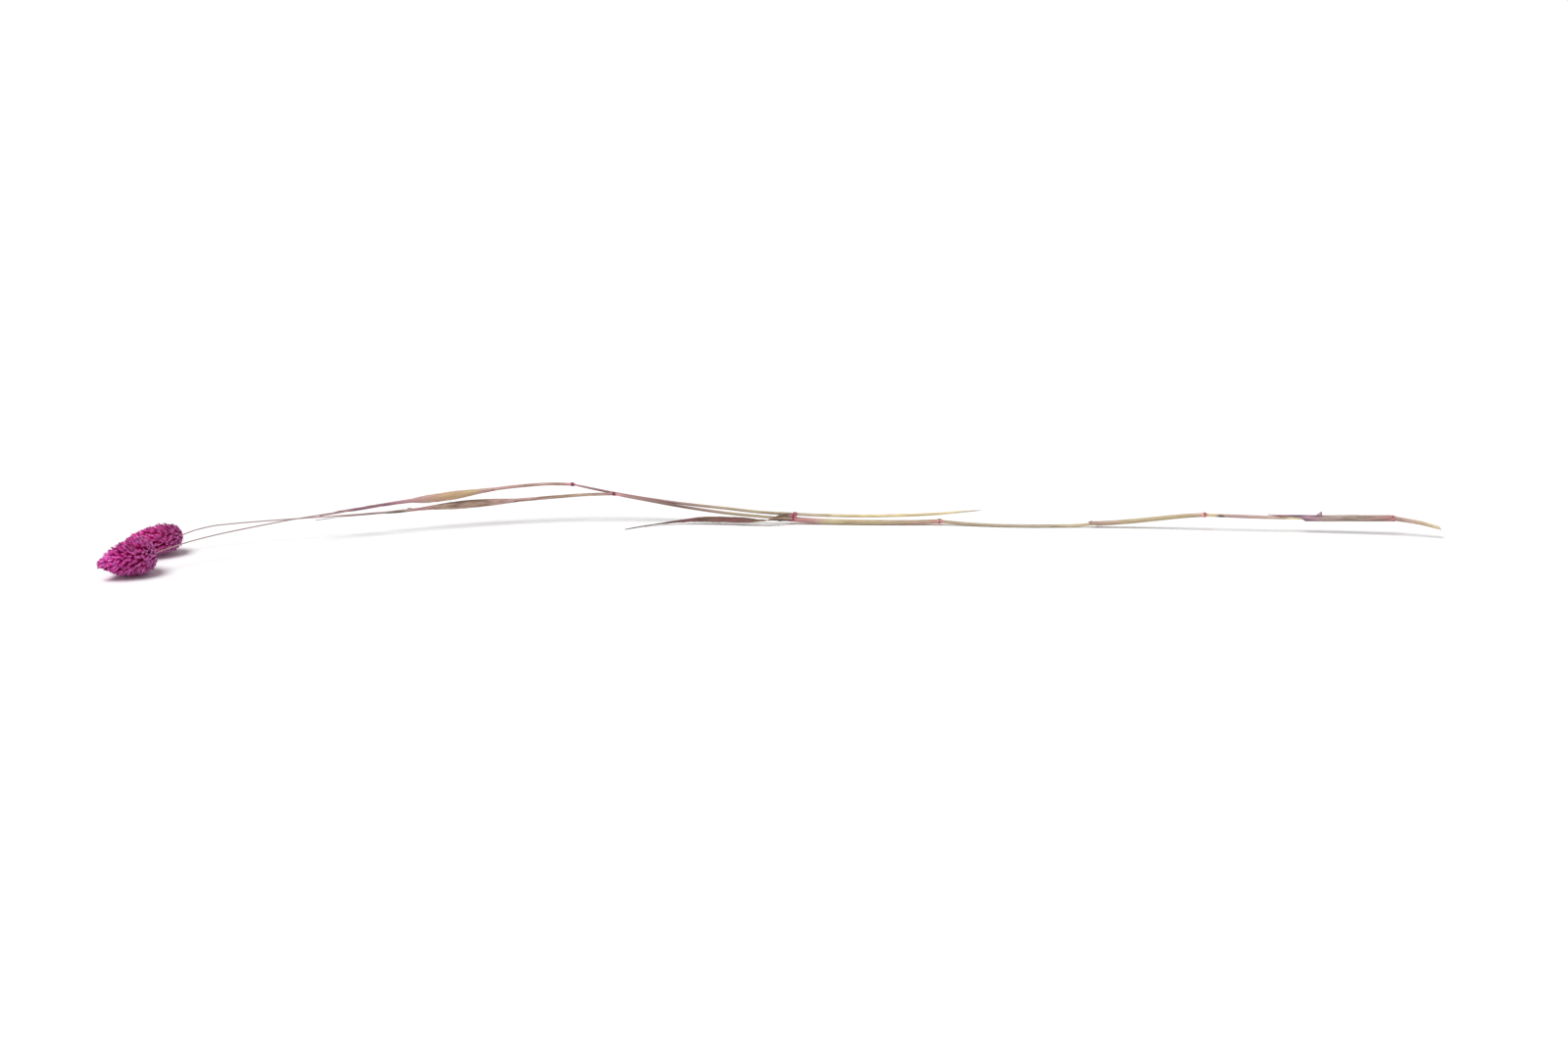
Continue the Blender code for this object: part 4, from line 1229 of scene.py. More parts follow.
    def spindles(
        self, chosen: list[int] | range, points: np.ndarray, radial: np.ndarray, girth: float, out: float
    ) -> Shape:
        """Pointed grains between the glumes: rings whose radius is a sine of the way along.

        Args:
            chosen: the spikelets that get one.
            points: the middle line of each spikelet.
            radial: the outward direction along it.
            girth: the largest radius of a grain.
            out: how far it is moved outwards.

        Returns:
            All grains as one shape.
        """
        turns = turns_round(self.grain_sides)
        u = np.linspace(0.0, 1.0, self.grain_rings)
        bluntness, least = 0.7, 0.05
        swell = np.maximum(np.sin(math.pi * np.clip(u, 0.03, 0.97)) ** bluntness, least)
        made = []
        for index in chosen:
            start, end = points[index, 1], points[index, -2]
            axis = unit(end - start)
            first = unit(np.cross(axis, UP))
            second = np.cross(axis, first)
            centre = start + (end - start) * u[:, None] + radial[index, 0] * out
            rings = centre[:, None] + (girth * swell)[:, None, None] * spokes(turns, first, second)
            made.append(tube(press_flat(rings), u))
        return joined(made)

    def middle(self) -> Shape:
        """The dense middle: the outline scaled down, with shallow bumps."""
        place = np.linspace(0.004, self.core_end, self.core_rows)
        turns = turns_round(self.core_rows)
        knobs_round, twist, knobs_along = 9.0, 60.0, 90.0
        knobs = np.sin(turns * knobs_round + place[:, None] * twist) * np.sin(place[:, None] * knobs_along)
        rounded_from, rounded_to = self.core_end - 0.29, self.core_end + 0.01
        fall = np.sqrt(fading(place, rounded_from, rounded_to))
        smooth = self.radius * self.core_share * head_outline(place) * fall
        radius = smooth[:, None] * (1.0 + self.knob_height * knobs)
        centres = self.base + place[:, None] * self.length * self.axis
        return tube(press_flat(centres[:, None] + radius[..., None] * self.outward(turns)[None]), place)

    def build(self) -> None:
        """Make the head's pieces."""
        points, radial = self.spines()
        glumes = self.glumes(points, radial)
        make_piece(self.name + "_glumes", glumes, self.finish, self.name, self.crease)
        florets = self.spindles(range(self.spikelets), points, radial, self.floret_girth, self.floret_out)
        make_piece(self.name + "_florets", florets, FLORET_FINISH, self.name)
        make_piece(self.name + "_middle", self.middle(), MIDDLE_FINISH, self.name)
        if self.open_at:
            grains = self.spindles(self.opened(), points, radial, self.grain_girth, self.grain_out)
            make_piece(self.name + "_grains", grains, SEED_FINISH, self.name)


@dataclass
class Fibres(Piece):
    """Stray dry fibres: thin tapering tubes along bent paths."""

    paths: tuple[tuple[Triple, ...], ...]
    girth: float = 0.10
    taper: float = 0.67
    steps: int = 8
    sides: int = 6

    def shape(self) -> Shape:
        """Each path smoothed, with a radius that falls to a third at its tip."""
        made = []
        turns = turns_round(self.sides)
        for path in self.paths:
            knots = np.array(path)
            t = np.linspace(0.0, len(path) - 1.0, self.steps * (len(path) - 1) + 1)
            line = smooth_between(np.arange(len(path)), knots, t)
            tangents = tangents_of(line)
            first = unit(np.cross(tangents, ASKEW))
            second = np.cross(tangents, first)
            radius = self.girth * (1.0 - self.taper * np.linspace(0.0, 1.0, len(line)))
            made.append(tube(line[:, None] + radius[:, None, None] * spokes(turns, first, second), t))
        return joined(made)


@dataclass
class Spur(Piece):
    """A stiff pointed bit that stands up from a leaf, as flat slices from its foot to its tip.

    Each slice is its place along X, its rise over the leaf and its length along X.
    """

    reach: float
    slices: tuple[Triple, ...]
    wall: float = 0.5
    taper: float = 0.6
    sides: int = 12

    def shape(self) -> Shape:
        """Each slice a rounded box: the square root of the cosine and of the sine, with signs."""
        turns = turns_round(self.sides)
        lengthwise = np.sign(np.cos(turns)) * np.sqrt(np.abs(np.cos(turns)))
        widthwise = np.sign(np.sin(turns)) * np.sqrt(np.abs(np.sin(turns)))
        rings = []
        for step, (place, rise, length) in enumerate(self.slices):
            station = np.array([place])
            tangents, upward, sideways = MAIN_CULM.frame_at(station)
            centre = MAIN_CULM.at(station) + upward * (self.reach + rise)
            half_wall = self.wall / 2.0 * (1.0 - self.taper * step / len(self.slices))
            flat = np.outer(lengthwise * length / 2.0, tangents) + np.outer(widthwise * half_wall, sideways)
            rings.append(centre + flat)
        return tube(np.array(rings), np.linspace(0.0, 1.0, len(rings)))


def sheath(start: float, end: float, clock: float, mouth: float, reach: float) -> Rows:
    """Stations of a rolled sheath, from where it grows out of a joint to its wider end.

    Args:
        start: place of the joint's side along X.
        end: place of its end.
        clock: clock angle of its midrib.
        mouth: distance from the culm's axis to it at the joint.
        reach: the same at its end.

    Returns:
        Three stations.
    """
    roll = 335.0
    places = ((start, mouth), ((start + end) / 2.0, (mouth + 2.0 * reach) / 3.0), (end, reach))
    return tuple((x, clock, out, out * math.radians(roll), roll) for x, out in places)


# Colours of the dry, dyed plant, named once
STRAW = srgb(200, 188, 160)
STRAW_OLIVE = srgb(186, 172, 140)
STRAW_PALE = srgb(240, 226, 188)
STRAW_YELLOW = srgb(228, 208, 160)
STRAW_WARM = srgb(214, 196, 162)
STRAW_PINK = srgb(206, 178, 168)
BROWN_MAUVE = srgb(168, 140, 132)
BROWN_MAUVE_DARK = srgb(122, 94, 92)
MAUVE = srgb(186, 156, 156)
MAUVE_DEEP = srgb(160, 130, 136)
MAUVE_PINK = srgb(188, 142, 150)
CREAM_PINK = srgb(224, 208, 196)
STRAW_GREY = srgb(190, 180, 158)
PINK_BRIGHT = srgb(232, 158, 176)
ROSE = srgb(206, 138, 146)
CRIMSON = srgb(150, 36, 82)
DUSTY = srgb(176, 150, 152)
GREY_TIP = srgb(226, 222, 202)
SHEATH_TAN = srgb(208, 192, 156)
SHEATH_OLIVE = srgb(190, 174, 138)
SHEATH_WARM = srgb(200, 172, 154)
SHEATH_GREY = srgb(172, 154, 142)
LILAC = srgb(180, 142, 160)
VIOLET = srgb(144, 106, 128)
VIOLET_DEEP = srgb(96, 68, 88)
OLIVE_TAN = srgb(200, 182, 132)
BLADE_TAN_LIGHT = srgb(204, 172, 142)
BLADE_PINK = srgb(196, 160, 154)
BLADE_TAN = srgb(184, 158, 136)
VIOLET_LEAF = srgb(140, 100, 126)
VIOLET_PINK = srgb(180, 134, 150)
OLIVE_BROWN = srgb(134, 108, 86)

MAIN_STRAW = StrawFinish(
    "main straw", dye=srgb(186, 140, 146), streak=srgb(134, 106, 92), halo=srgb(226, 160, 158),
    bruise=VIOLET_DEEP,
    stops=(
        (-315.0, DUSTY), (-250.0, DUSTY), (-232.0, MAUVE), (-215.0, DUSTY), (-140.0, STRAW_PINK),
        (-91.0, SHEATH_WARM), (-84.0, MAUVE_PINK), (-78.0, BROWN_MAUVE), (-56.0, BROWN_MAUVE_DARK),
        (-40.0, BROWN_MAUVE), (-24.0, STRAW_OLIVE), (-8.0, STRAW_WARM), (20.0, STRAW_PINK), (60.0, STRAW),
        # From 92 to 150, where the culm lies on the floor, the greyer stops are partly the straw's own tone
        # and partly painted contact shade
        (92.0, STRAW_OLIVE), (108.0, STRAW_GREY), (134.0, STRAW_GREY), (150.0, STRAW), (162.0, STRAW_WARM),
        (218.0, STRAW_WARM), (226.0, STRAW_YELLOW), (231.0, STRAW_WARM), (236.0, MAUVE),
        (256.0, STRAW_PINK), (262.0, SHEATH_WARM), (266.0, STRAW_PALE), (276.0, STRAW_PALE), (318.0, MAUVE),
        (323.5, srgb(174, 146, 130)), (329.0, STRAW_PINK), (335.0, STRAW_WARM), (340.0, STRAW_PALE),
    ),
)
SIDE_STRAW = StrawFinish(
    "side straw", dye=srgb(190, 146, 150), streak=srgb(136, 108, 96), halo=PINK_BRIGHT,
    stops=(
        (-320.0, DUSTY), (-250.0, DUSTY), (-228.0, MAUVE), (-160.0, STRAW_PINK), (-114.0, MAUVE),
        (-107.0, MAUVE), (-98.0, MAUVE_DEEP), (-84.0, srgb(176, 132, 138)), (-62.0, srgb(168, 138, 136)),
        (-42.0, srgb(180, 158, 142)), (-16.0, STRAW_OLIVE), (10.0, STRAW_GREY), (24.0, STRAW_WARM),
        (40.0, STRAW_YELLOW), (80.0, STRAW_YELLOW), (92.0, STRAW_PALE), (100.0, GREY_TIP),
        (106.0, GREY_TIP),
    ),
)
MAIN_FLAG_FINISH = LeafFinish(
    "pink tan flag leaf", roughness=0.62, margin=srgb(196, 146, 142), margin_share=0.35,
    dye=srgb(176, 124, 128), streak=srgb(116, 84, 76), streak_amount=0.7, streak_count=6.0,
    # This dark colour paints the shade in the blade's groove and on its curled underside, and one small mark
    spot_and_shade=srgb(74, 55, 46),
    stops=(
        (-243.0, DUSTY), (-222.0, MAUVE), (-212.0, MAUVE), (-207.0, CREAM_PINK), (-197.0, CREAM_PINK),
        (-194.0, STRAW_PINK), (-191.0, ROSE), (-184.0, BLADE_PINK), (-176.0, BLADE_TAN),
        (-158.0, BLADE_TAN), (-144.0, BLADE_PINK), (-134.0, BLADE_PINK), (-122.0, BLADE_TAN),
        (-104.0, SHEATH_WARM), (-94.0, STRAW_PINK), (-90.0, MAUVE_PINK),
    ),
    # The inner face is darker partly as its own colour and partly as painted shade inside the folded groove
    inner_stops=(
        (-243.0, DUSTY), (-210.0, DUSTY), (-206.0, BLADE_TAN), (-190.0, ROSE), (-184.0, BLADE_TAN),
        (-168.0, OLIVE_BROWN), (-150.0, BLADE_TAN), (-90.0, STRAW_PINK),
    ),
)
SIDE_FLAG_FINISH = LeafFinish(
    "olive tan flag leaf", roughness=0.62, margin=srgb(192, 150, 146), margin_share=0.6,
    dye=srgb(200, 150, 150), dye_amount=0.2, streak=srgb(168, 116, 104), specks=0.7,
    spot_and_shade=srgb(172, 92, 112),
    stops=(
        (-240.0, MAUVE), (-228.0, MAUVE), (-222.0, VIOLET_LEAF), (-206.0, VIOLET_LEAF),
        (-199.0, VIOLET_PINK), (-192.0, BLADE_PINK), (-187.0, BLADE_PINK), (-181.0, BLADE_TAN_LIGHT),
        (-173.0, srgb(204, 176, 132)), (-163.0, OLIVE_TAN), (-157.0, STRAW_PINK), (-150.0, STRAW_PINK),
        (-140.0, BLADE_PINK), (-134.0, BROWN_MAUVE), (-126.0, STRAW_PINK), (-118.0, BROWN_MAUVE),
        (-113.5, BLADE_PINK), (-111.8, PINK_BRIGHT),
    ),
)
MIDDLE_SHEATH_FINISH = LeafFinish(
    "tan middle sheath", roughness=0.55, margin=srgb(190, 166, 140), margin_share=0.3,
    dye=srgb(196, 150, 140), streak=srgb(156, 134, 108),
    stops=(
        (4.0, CRIMSON), (7.0, ROSE), (16.0, srgb(190, 138, 138)), (20.0, STRAW_PINK), (22.0, SHEATH_TAN),
        (36.0, SHEATH_OLIVE), (50.0, SHEATH_OLIVE), (62.0, srgb(188, 168, 146)),
        (76.0, srgb(196, 164, 146)), (80.0, srgb(204, 162, 148)), (82.5, srgb(208, 152, 146)),
    ),
)
MIDDLE_BLADE_FINISH = LeafFinish(
    "brown middle blade", roughness=0.58, margin=srgb(116, 94, 68), margin_share=0.6, dye=srgb(150, 84, 90),
    dye_amount=0.4, streak=srgb(66, 44, 40), streak_amount=0.8, streak_count=4.0, streak_shortness=0.16,
    spot_and_shade=srgb(84, 62, 52),
    stops=(
        (-82.0, srgb(92, 70, 78)), (-64.0, srgb(76, 52, 56)), (-54.0, srgb(104, 68, 68)),
        (-44.0, srgb(112, 74, 70)), (-34.0, srgb(122, 92, 70)), (-22.0, srgb(112, 72, 68)),
        (-12.0, srgb(126, 100, 80)), (-5.0, BLADE_TAN), (3.0, BLADE_TAN), (7.5, ROSE),
    ),
)
COLLAR_FINISH = LeafFinish(
    "crimson collar", margin=ROSE, margin_share=0.0, dye=srgb(226, 150, 170), dye_amount=0.7,
    streak=srgb(128, 34, 66), streak_amount=0.8, streak_count=10.0, streak_shortness=1.0,
    stops=((0.0, srgb(180, 84, 110)), (12.0, srgb(184, 96, 120))),
)
LOWER_FINISH = LeafFinish(
    "warm sheath", margin=srgb(196, 160, 148), margin_share=0.25, dye=srgb(194, 156, 146),
    streak=srgb(150, 128, 98),
    stops=(
        (162.0, srgb(160, 128, 120)), (167.0, srgb(186, 156, 146)), (176.0, srgb(194, 172, 152)),
        (183.0, SHEATH_OLIVE), (217.5, SHEATH_OLIVE), (220.0, STRAW_PINK), (221.2, ROSE),
    ),
)
BASE_FINISH = LeafFinish(
    "grey violet sheath", margin=srgb(150, 110, 128), margin_share=0.35,
    dye=srgb(176, 146, 150), dye_amount=0.3, streak=srgb(104, 84, 80), streak_amount=0.55, streak_count=7.0,
    streak_shortness=0.12, spot_and_shade=VIOLET_DEEP,
    stops=(
        (255.0, ROSE), (268.0, LILAC), (273.0, VIOLET), (275.0, LILAC), (279.0, LILAC),
        (285.0, SHEATH_GREY), (302.0, SHEATH_GREY), (309.0, srgb(178, 146, 136)),
        (315.0, srgb(172, 134, 128)), (318.8, srgb(180, 122, 122)),
    ),
)
# The strip's paler colour is partly a pale layer of the sheath and partly a painted highlight along the
# sheath's top
BASE_STRIP_FINISH = LeafFinish(
    "pale strip", margin=srgb(150, 132, 122), margin_share=0.4,
    stops=((286.0, SHEATH_GREY), (290.0, srgb(200, 190, 176)), (304.0, SHEATH_GREY)),
)
SIDE_GLUMES = GlumeFinish(
    "magenta glumes", root=srgb(200, 2, 122), body=srgb(228, 28, 172),
    bright=srgb(246, 84, 202), tip=srgb(132, 74, 124), margin=srgb(244, 160, 226),
    pale_base=srgb(236, 150, 220),
)
MAIN_GLUMES = GlumeFinish(
    "deep magenta glumes", root=srgb(208, 0, 118), body=srgb(244, 46, 180),
    bright=srgb(252, 96, 202), tip=srgb(146, 82, 134), margin=srgb(240, 156, 214),
    pale_base=srgb(206, 122, 188),
)
FLORET_FINISH = GrainFinish("floret", 0.5, 0.15, low=srgb(160, 4, 96), high=srgb(214, 80, 152))
MIDDLE_FINISH = GrainFinish("head middle", 0.8, 0.1, low=srgb(112, 0, 60), high=srgb(160, 6, 92))
SEED_FINISH = GrainFinish("open grain", roughness=0.45, low=srgb(126, 62, 84), high=srgb(160, 100, 98))
FIBRE_FINISH = GrainFinish("stray fibre", roughness=0.6, low=srgb(150, 110, 120), high=srgb(196, 170, 150))
BARB_FINISH = GrainFinish("stiff barb", roughness=0.5, low=srgb(120, 108, 120), high=srgb(196, 160, 172))
SPUR_FINISH = GrainFinish("brown spur", roughness=0.5, low=srgb(132, 104, 98), high=srgb(190, 150, 142))

# The culms follow the solids, whose eight-sided stems rest on a flat side
REST_HEIGHT = 0.88 * math.cos(math.pi / 8.0)
MAIN_CULM = CutCulm(
    name="main_stem_fine", node="main_stem", slot="main_culm", finish=MAIN_STRAW,
    head_tip=(-338.2, -22.6, 8.8), swells=(0.62, 0.62, 0.55, 0.42),
    pink_reach=((0.9, 1.3), (1.4, 2.6), (2.2, 3.0), (1.0, 4.4)),
    dark_spots_and_shade=(
        # The first patch, on the axis by the cut end, is painted shade inside the hollow of the lumen; the
        # rest are dark marks at the joints
        (337.0, 0.0, -1.0, 6.5, 0.55), (319.5, -51.0, 0.0, 0.7, 0.6), (320.3, -123.0, 0.0, 0.9, 0.6),
        (222.5, -50.0, 0.0, 0.4, 1.2), (83.6, -24.0, 0.0, 0.5, 0.45), (83.4, -98.0, 0.0, 0.5, 0.45),
        (-88.5, -80.0, 0.0, 0.9, 3.0),
    ),
    bruises=((230.8, -105.0, 0.0, 1.9, 0.9), (263.0, -20.0, 0.0, 2.5, 0.5)),
    joints=(319.5, 222.0, 83.5, -88.5),
    route=(
        (343.5, 21.3, 5.6), (333.0, 24.0, 7.7), (319.5, 27.2, 9.1), (301.0, 29.5, 8.4), (279.0, 31.6, 7.8),
        (258.0, 33.0, 7.8), (238.0, 34.3, 8.1), (222.0, 35.6, 8.4), (212.0, 36.8, 7.4), (197.5, 38.4, 5.4),
        (182.0, 39.8, 3.4), (163.5, 40.6, 1.8), (150.0, 40.6, REST_HEIGHT), (134.0, 40.4, REST_HEIGHT),
        (118.0, 41.0, REST_HEIGHT), (97.0, 43.4, 1.2), (83.5, 44.8, 2.1), (69.0, 45.0, 1.5),
        (51.0, 45.2, 1.4), (32.5, 45.8, 1.5), (17.0, 46.4, 1.9), (5.5, 46.8, 2.7), (-9.0, 47.2, 3.8),
        (-29.5, 48.4, 5.6), (-50.5, 49.6, 8.4), (-71.0, 50.6, 12.0), (-88.5, 51.2, 15.3),
        (-102.0, 51.4, 14.9), (-118.0, 50.4, 14.0), (-133.0, 48.5, 13.2), (-154.0, 44.8, 12.4),
        (-169.0, 41.2, 12.2), (-184.0, 37.0, 12.0), (-198.0, 32.8, 11.7), (-226.0, 25.7, 11.3),
        (-253.5, 18.9, 11.3), (-279.0, 12.1, 11.3), (-291.0, 7.9, 11.3), (-302.0, 3.0, 10.2),
        (-308.6, -0.6, 8.6),
    ),
    girth=(
        (343.5, 0.92), (334.0, 1.06), (322.0, 1.16), (316.0, 1.00), (300.0, 0.90), (240.0, 0.90),
        (226.0, 0.86), (218.0, 0.68), (168.0, 0.72), (150.0, 0.88), (118.0, 0.88), (88.0, 0.84),
        (79.0, 0.74), (0.0, 0.74), (-84.0, 0.78), (-90.5, 0.44), (-140.0, 0.39), (-230.0, 0.33),
        (-308.6, 0.30),
    ),
)
SIDE_CULM = Culm(
    name="side_stem_fine", node="side_stem", slot="side_culm", finish=SIDE_STRAW,
    head_tip=(-343.4, -53.0, 8.9), swells=(0.60,), pink_reach=((1.6, 3.4),),
    dark_spots_and_shade=(
        (-110.5, -24.0, 0.0, 1.0, 0.85), (-110.5, -122.0, 0.0, 1.0, 0.85), (-110.0, -73.0, 0.0, 0.6, 0.6),
    ),
    joints=(-110.5,),
    route=(
        (105.4, 43.8, 8.5), (97.0, 43.9, 7.8), (79.0, 44.4, 6.1), (57.5, 45.3, 5.0), (37.5, 46.2, 4.6),
        (22.0, 46.8, 4.8), (5.5, 46.9, 5.5), (-9.0, 47.0, 6.3), (-29.5, 49.0, 8.0), (-50.5, 51.3, 9.7),
        (-71.0, 52.9, 12.2), (-88.5, 53.6, 15.1), (-98.0, 53.2, 17.2), (-110.5, 52.2, 20.3),
        (-123.0, 51.2, 20.8), (-136.0, 49.3, 20.4), (-154.0, 46.0, 19.1), (-169.0, 42.0, 17.7),
        (-184.0, 37.8, 16.6), (-198.0, 33.3, 16.2), (-213.5, 27.7, 15.3), (-231.0, 19.6, 14.6),
        (-252.0, 8.0, 14.4), (-270.5, -3.4, 13.9), (-287.0, -14.2, 13.3), (-298.0, -21.8, 12.5),
        (-304.0, -26.0, 11.8), (-310.5, -30.5, 10.7), (-316.3, -34.5, 9.5),
    ),
    girth=(
        (105.4, 0.22), (100.0, 0.45), (88.0, 0.70), (40.0, 0.84), (-40.0, 0.74), (-104.0, 0.60),
        (-111.5, 0.37), (-230.0, 0.33), (-316.3, 0.30),
    ),
)
LEAVES = (
    Leaf(
        name="main_flag_leaf_fine", node="main_flag_leaf", slot="flag_leaf", culm=MAIN_CULM,
        finish=MAIN_FLAG_FINISH, seed=31, wave=0.06,
        dark_spots_and_shade=(
            # The long band along the top at -164 and the two patches at -202 and -190 on the fold's underside
            # are painted shade; the patch at -139.8 is a small dark mark
            (-139.8, -125.0, 0.5, 1.2, 0.5), (-164.0, -20.0, 2.8, 17.0, 1.60),
            (-202.0, -138.0, 0.6, 6.5, 1.00), (-190.0, -150.0, 0.6, 5.0, 0.35),
        ),
        stations=(
            *sheath(-89.2, -138.0, -120.0, 0.58, 0.74), (-143.0, -112.0, 0.92, 5.0, 290.0),
            (-149.0, -98.0, 1.15, 5.6, 220.0), (-158.0, -90.0, 1.35, 5.7, 160.0),
            (-167.0, -86.0, 1.40, 5.6, 145.0), (-175.0, -84.0, 1.30, 4.6, 140.0),
            (-182.0, -86.0, 1.10, 3.2, 140.0), (-187.0, -90.0, 0.95, 2.3, 130.0),
            (-191.0, -95.0, 0.85, 1.7, 110.0), (-195.0, -108.0, 0.84, 1.9, 120.0),
            (-199.5, -128.0, 0.90, 2.9, 170.0), (-204.0, -128.0, 0.84, 2.4, 160.0),
            (-208.0, -118.0, 0.70, 1.6, 130.0), (-213.0, -118.0, 0.60, 1.2, 100.0),
            (-228.0, -150.0, 0.60, 0.9, 70.0), (-236.0, -185.0, 1.10, 0.7, 20.0),
            (-242.5, -185.0, 1.70, 0.4, 0.0),
        ),
    ),
    Leaf(
        name="side_flag_leaf_fine", node="side_flag_leaf", slot="flag_leaf", culm=SIDE_CULM,
        finish=SIDE_FLAG_FINISH, seed=37, vein_height=0.05, wave=0.05,
        dark_spots_and_shade=((-155.5, -140.0, 0.6, 2.4, 0.7), (-152.0, -105.0, 0.6, 1.2, 0.5)),
        stations=(
            *sheath(-111.3, -148.0, -95.0, 0.56, 0.66), (-156.0, -84.0, 0.98, 4.6, 270.0),
            (-165.0, -74.0, 1.25, 4.5, 140.0), (-175.0, -68.0, 1.42, 4.9, 85.0),
            (-182.0, -67.0, 1.42, 4.7, 85.0), (-189.5, -68.0, 1.30, 3.7, 100.0),
            (-194.0, -66.0, 1.05, 2.5, 120.0), (-200.0, -60.0, 0.84, 2.3, 160.0),
            (-204.0, -40.0, 0.70, 2.9, 250.0), (-208.5, 20.0, 0.63, 3.5, 330.0),
            (-213.0, 110.0, 0.62, 3.5, 330.0), (-218.0, 220.0, 0.61, 3.4, 330.0),
            (-222.5, 320.0, 0.59, 3.2, 325.0), (-227.0, 410.0, 0.55, 2.5, 290.0),
            (-231.0, 480.0, 0.52, 1.6, 180.0), (-235.0, 540.0, 0.50, 0.9, 100.0),
            (-239.5, 590.0, 0.60, 0.5, 20.0),
        ),
    ),
    Leaf(
        name="middle_leaf_sheath", node="middle_leaf", slot="middle_leaf", culm=MAIN_CULM,
        finish=MIDDLE_SHEATH_FINISH, seed=41,
        stations=(
            *sheath(82.8, 17.0, -100.0, 0.92, 1.20), (14.0, -76.0, 1.18, 5.2, 250.0),
            (6.9, -60.0, 1.22, 4.0, 185.0),
        ),
    ),
    FreeBlade(
        name="middle_leaf_blade", node="middle_leaf", slot="middle_leaf", culm=MAIN_CULM,
        finish=MIDDLE_BLADE_FINISH, seed=43, veins=3.0, vein_height=0.14, wave=0.18,
        dark_spots_and_shade=((-3.5, -114.0, 2.3, 6.5, 1.7), (-68.0, -100.0, 6.0, 10.0, 8.0)),
        stations=(
            (5.9, 45.2, 4.2, 4.3, 60.0, 88.0), (2.0, 44.8, 4.1, 4.6, 50.0, 80.0),
            (-2.0, 43.9, 3.7, 3.8, 52.0, 64.0), (-6.0, 43.5, 3.1, 2.6, 60.0, 30.0),
            (-10.5, 43.7, 2.7, 2.1, 50.0, -12.0), (-20.0, 44.6, 2.7, 3.1, 45.0, -45.0),
            (-30.0, 45.6, 2.8, 3.2, 40.0, -50.0), (-42.0, 46.2, 2.7, 2.7, 35.0, -50.0),
            (-54.0, 46.0, 1.7, 1.4, 30.0, -45.0), (-60.0, 45.0, 1.2, 1.0, 30.0, -40.0),
            (-67.0, 43.2, 0.8, 0.7, 20.0, -20.0), (-74.0, 40.9, 0.45, 0.55, 0.0, -10.0),
            (-82.0, 36.6, 0.22, 0.35, 0.0, 0.0),
        ),
    ),
    Leaf(
        name="lower_sheath_fine", node="lower_sheath", slot="sheath", culm=MAIN_CULM, finish=LOWER_FINISH,
        seed=47, ragged_end=0.8,
        stations=(
            *sheath(221.2, 168.0, 20.0, 0.86, 1.06), (165.7, 14.0, 1.22, 5.4, 255.0),
            (164.3, 11.0, 1.26, 3.6, 180.0), (162.8, 8.0, 1.35, 2.0, 90.0),
        ),
    ),
    Leaf(
        name="base_sheath_fine", node="base_sheath", slot="sheath", culm=MAIN_CULM, finish=BASE_FINISH,
        seed=53, ragged_end=0.4, vein_height=0.05,
        dark_spots_and_shade=(
            (275.0, -135.0, 0.5, 5.0, 1.0), (270.0, -20.0, 0.5, 4.5, 0.7), (281.0, -30.0, 0.5, 3.0, 0.5),
        ),
        stations=(
            *sheath(318.8, 278.0, -10.0, 1.45, 1.45), (275.5, -8.0, 1.45, 7.8, 308.0),
            (273.4, -4.0, 1.45, 5.0, 200.0), (271.4, -2.0, 1.42, 2.8, 114.0), (266.0, 0.0, 1.38, 2.0, 82.0),
            (260.0, 1.0, 1.35, 1.4, 58.0), (255.5, 2.0, 1.42, 0.7, 0.0),
        ),
    ),
    Leaf(
        name="base_sheath_strip", node="base_sheath", slot="sheath", culm=MAIN_CULM,
        finish=BASE_STRIP_FINISH, seed=59, columns=9, ragged_start=0.5,
        stations=(
            (305.0, -22.0, 1.70, 0.8, 26.0), (299.0, -15.0, 1.72, 1.5, 46.0),
            (291.0, -15.0, 1.72, 1.3, 44.0), (286.5, -20.0, 1.66, 0.6, 22.0),
        ),
    ),
)
COLLAR = Clasp("middle_leaf_collar", "middle_leaf", "middle_leaf", COLLAR_FINISH, MAIN_CULM, SIDE_CULM)
HEADS = (
    SeedHead(name="main_head", culm=MAIN_CULM, radius=7.6, finish=MAIN_GLUMES, seed=11),
    SeedHead(
        name="side_head", culm=SIDE_CULM, radius=9.7, finish=SIDE_GLUMES, seed=23,
        open_at=((0.73, -80.0), (0.59, -57.0), (0.50, -46.0)),
    ),
)
HEAD_FIBRES = Fibres(
    name="main_head_fibre", slot="main_head", node="main_head", finish=FIBRE_FINISH,
    paths=(
        ((-309.4, -2.6, 8.0), (-308.0, -3.6, 7.0), (-307.4, -3.4, 6.2), (-307.9, -3.0, 5.6)),
        ((-309.6, -2.4, 8.4), (-307.6, -3.9, 7.9), (-306.8, -4.3, 7.2)),
    ),
)
SPURS = (
    Spur(
        name="base_sheath_barb", node="base_sheath", slot="sheath", finish=BARB_FINISH, reach=1.45,
        slices=((281.8, 0.0, 3.4), (282.2, 0.9, 2.4), (282.7, 1.7, 1.2), (283.0, 2.3, 0.3)),
    ),
    Spur(
        name="lower_sheath_spur", node="lower_sheath", slot="sheath", finish=SPUR_FINISH, reach=1.25,
        wall=0.3, slices=((164.2, -0.3, 1.3), (163.7, 0.35, 0.6), (163.4, 0.9, 0.2)),
    ),
    Spur(
        name="main_flag_leaf_knot", node="main_flag_leaf", slot="flag_leaf", finish=SPUR_FINISH, reach=0.75,
        wall=0.6, slices=((-194.6, -0.3, 3.4), (-194.8, 0.05, 2.4), (-195.3, 0.25, 0.8)),
    ),
)


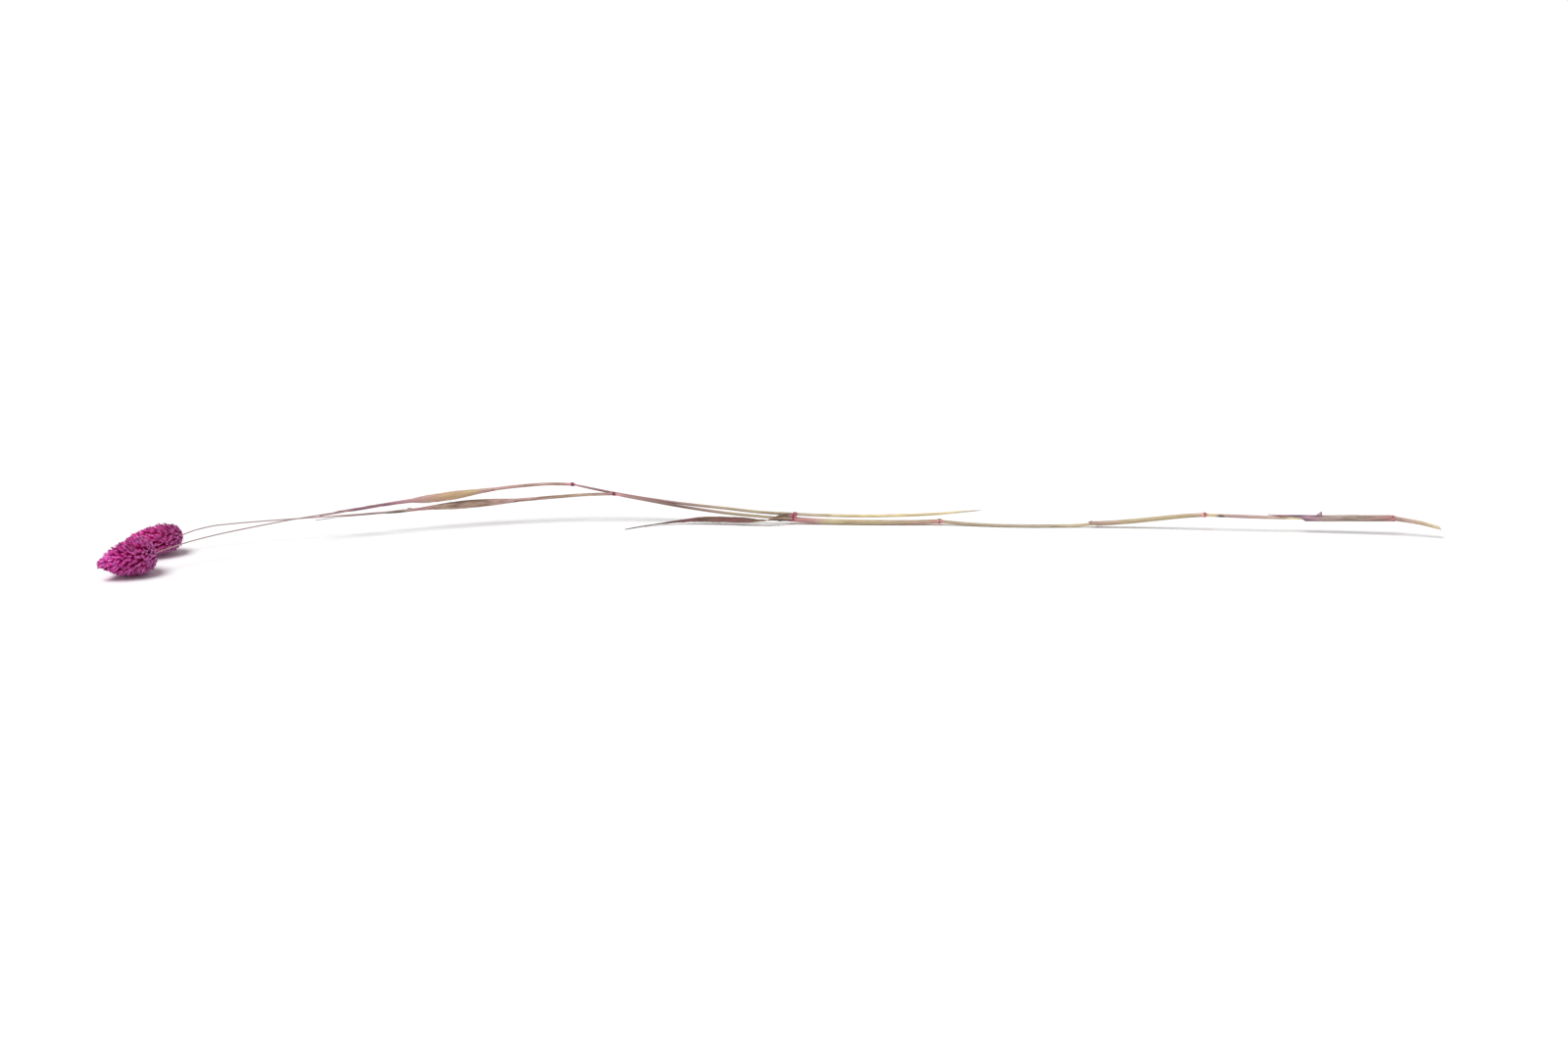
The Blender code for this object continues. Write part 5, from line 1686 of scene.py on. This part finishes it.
@dataclass
class Studio:
    """The pale floor, the soft light and the camera."""

    camera_place: Triple = (1.5, -1715.1, 540.56)
    camera_tilt: float = 17.0
    lens: float = 80.0
    sensor: float = 36.0
    floor_reach: float = 8000.0
    floor_sink: float = 0.02
    sun_from: Triple = (-0.42, -0.21, 1.0)
    sun_strength: float = 2.85
    sun_width: float = 36.0
    sky: float = 0.36

    def build_floor(self) -> None:
        """A wide plain floor."""
        reach = self.floor_reach * MM
        ways = ((-1, -1), (1, -1), (1, 1), (-1, 1))
        corners = [(x * reach, y * reach, -self.floor_sink * MM) for x, y in ways]
        mesh = bpy.data.meshes.new("floor")
        mesh.from_pydata(corners, [], [(0, 1, 2, 3)])
        material = bpy.data.materials.new("white paper")
        material.use_nodes = True
        shader = material.node_tree.nodes["Principled BSDF"]
        shader.inputs["Base Color"].default_value = (0.9, 0.9, 0.9, 1.0)
        shader.inputs["Roughness"].default_value = 1.0
        shader.inputs["Specular IOR Level"].default_value = 0.0
        mesh.materials.append(material)
        floor = stand("floor", mesh)

    def build_light(self) -> None:
        """One broad sun from the upper left and an even white sky."""
        lamp = bpy.data.lights.new("window", "SUN")
        lamp.energy = self.sun_strength
        lamp.angle = math.radians(self.sun_width)
        aim = Vector(self.sun_from).to_track_quat("Z", "Y")
        stand("window", lamp).rotation_euler = aim.to_euler()
        world = bpy.data.worlds.new("sky")
        world.use_nodes = True
        background = world.node_tree.nodes["Background"]
        background.inputs[0].default_value = (1.0, 1.0, 1.0, 1.0)
        background.inputs[1].default_value = self.sky
        bpy.context.scene.world = world

    def build_camera(self) -> None:
        """A long lens at the photograph's angle."""
        lens = bpy.data.cameras.new("camera")
        lens.lens = self.lens
        lens.sensor_width = self.sensor
        lens.clip_start, lens.clip_end = 0.05, 40.0
        camera = stand("camera", lens)
        camera.location = [value * MM for value in self.camera_place]
        camera.rotation_euler = (math.radians(90.0 - self.camera_tilt), 0.0, 0.0)
        bpy.context.scene.camera = camera

    def build(self) -> None:
        """Set up the studio."""
        self.build_floor()
        self.build_light()
        self.build_camera()
        bpy.context.scene.view_settings.view_transform = "Standard"


def main() -> None:
    """Build the grass and the studio, and log the size of each piece's mesh."""
    logging.basicConfig(level=logging.INFO, format="%(message)s")
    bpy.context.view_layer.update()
    for piece in (MAIN_CULM, SIDE_CULM, *LEAVES, COLLAR, *HEADS, HEAD_FIBRES, *SPURS):
        piece.build()
    Studio().build()


if __name__ == "__main__":
    main()
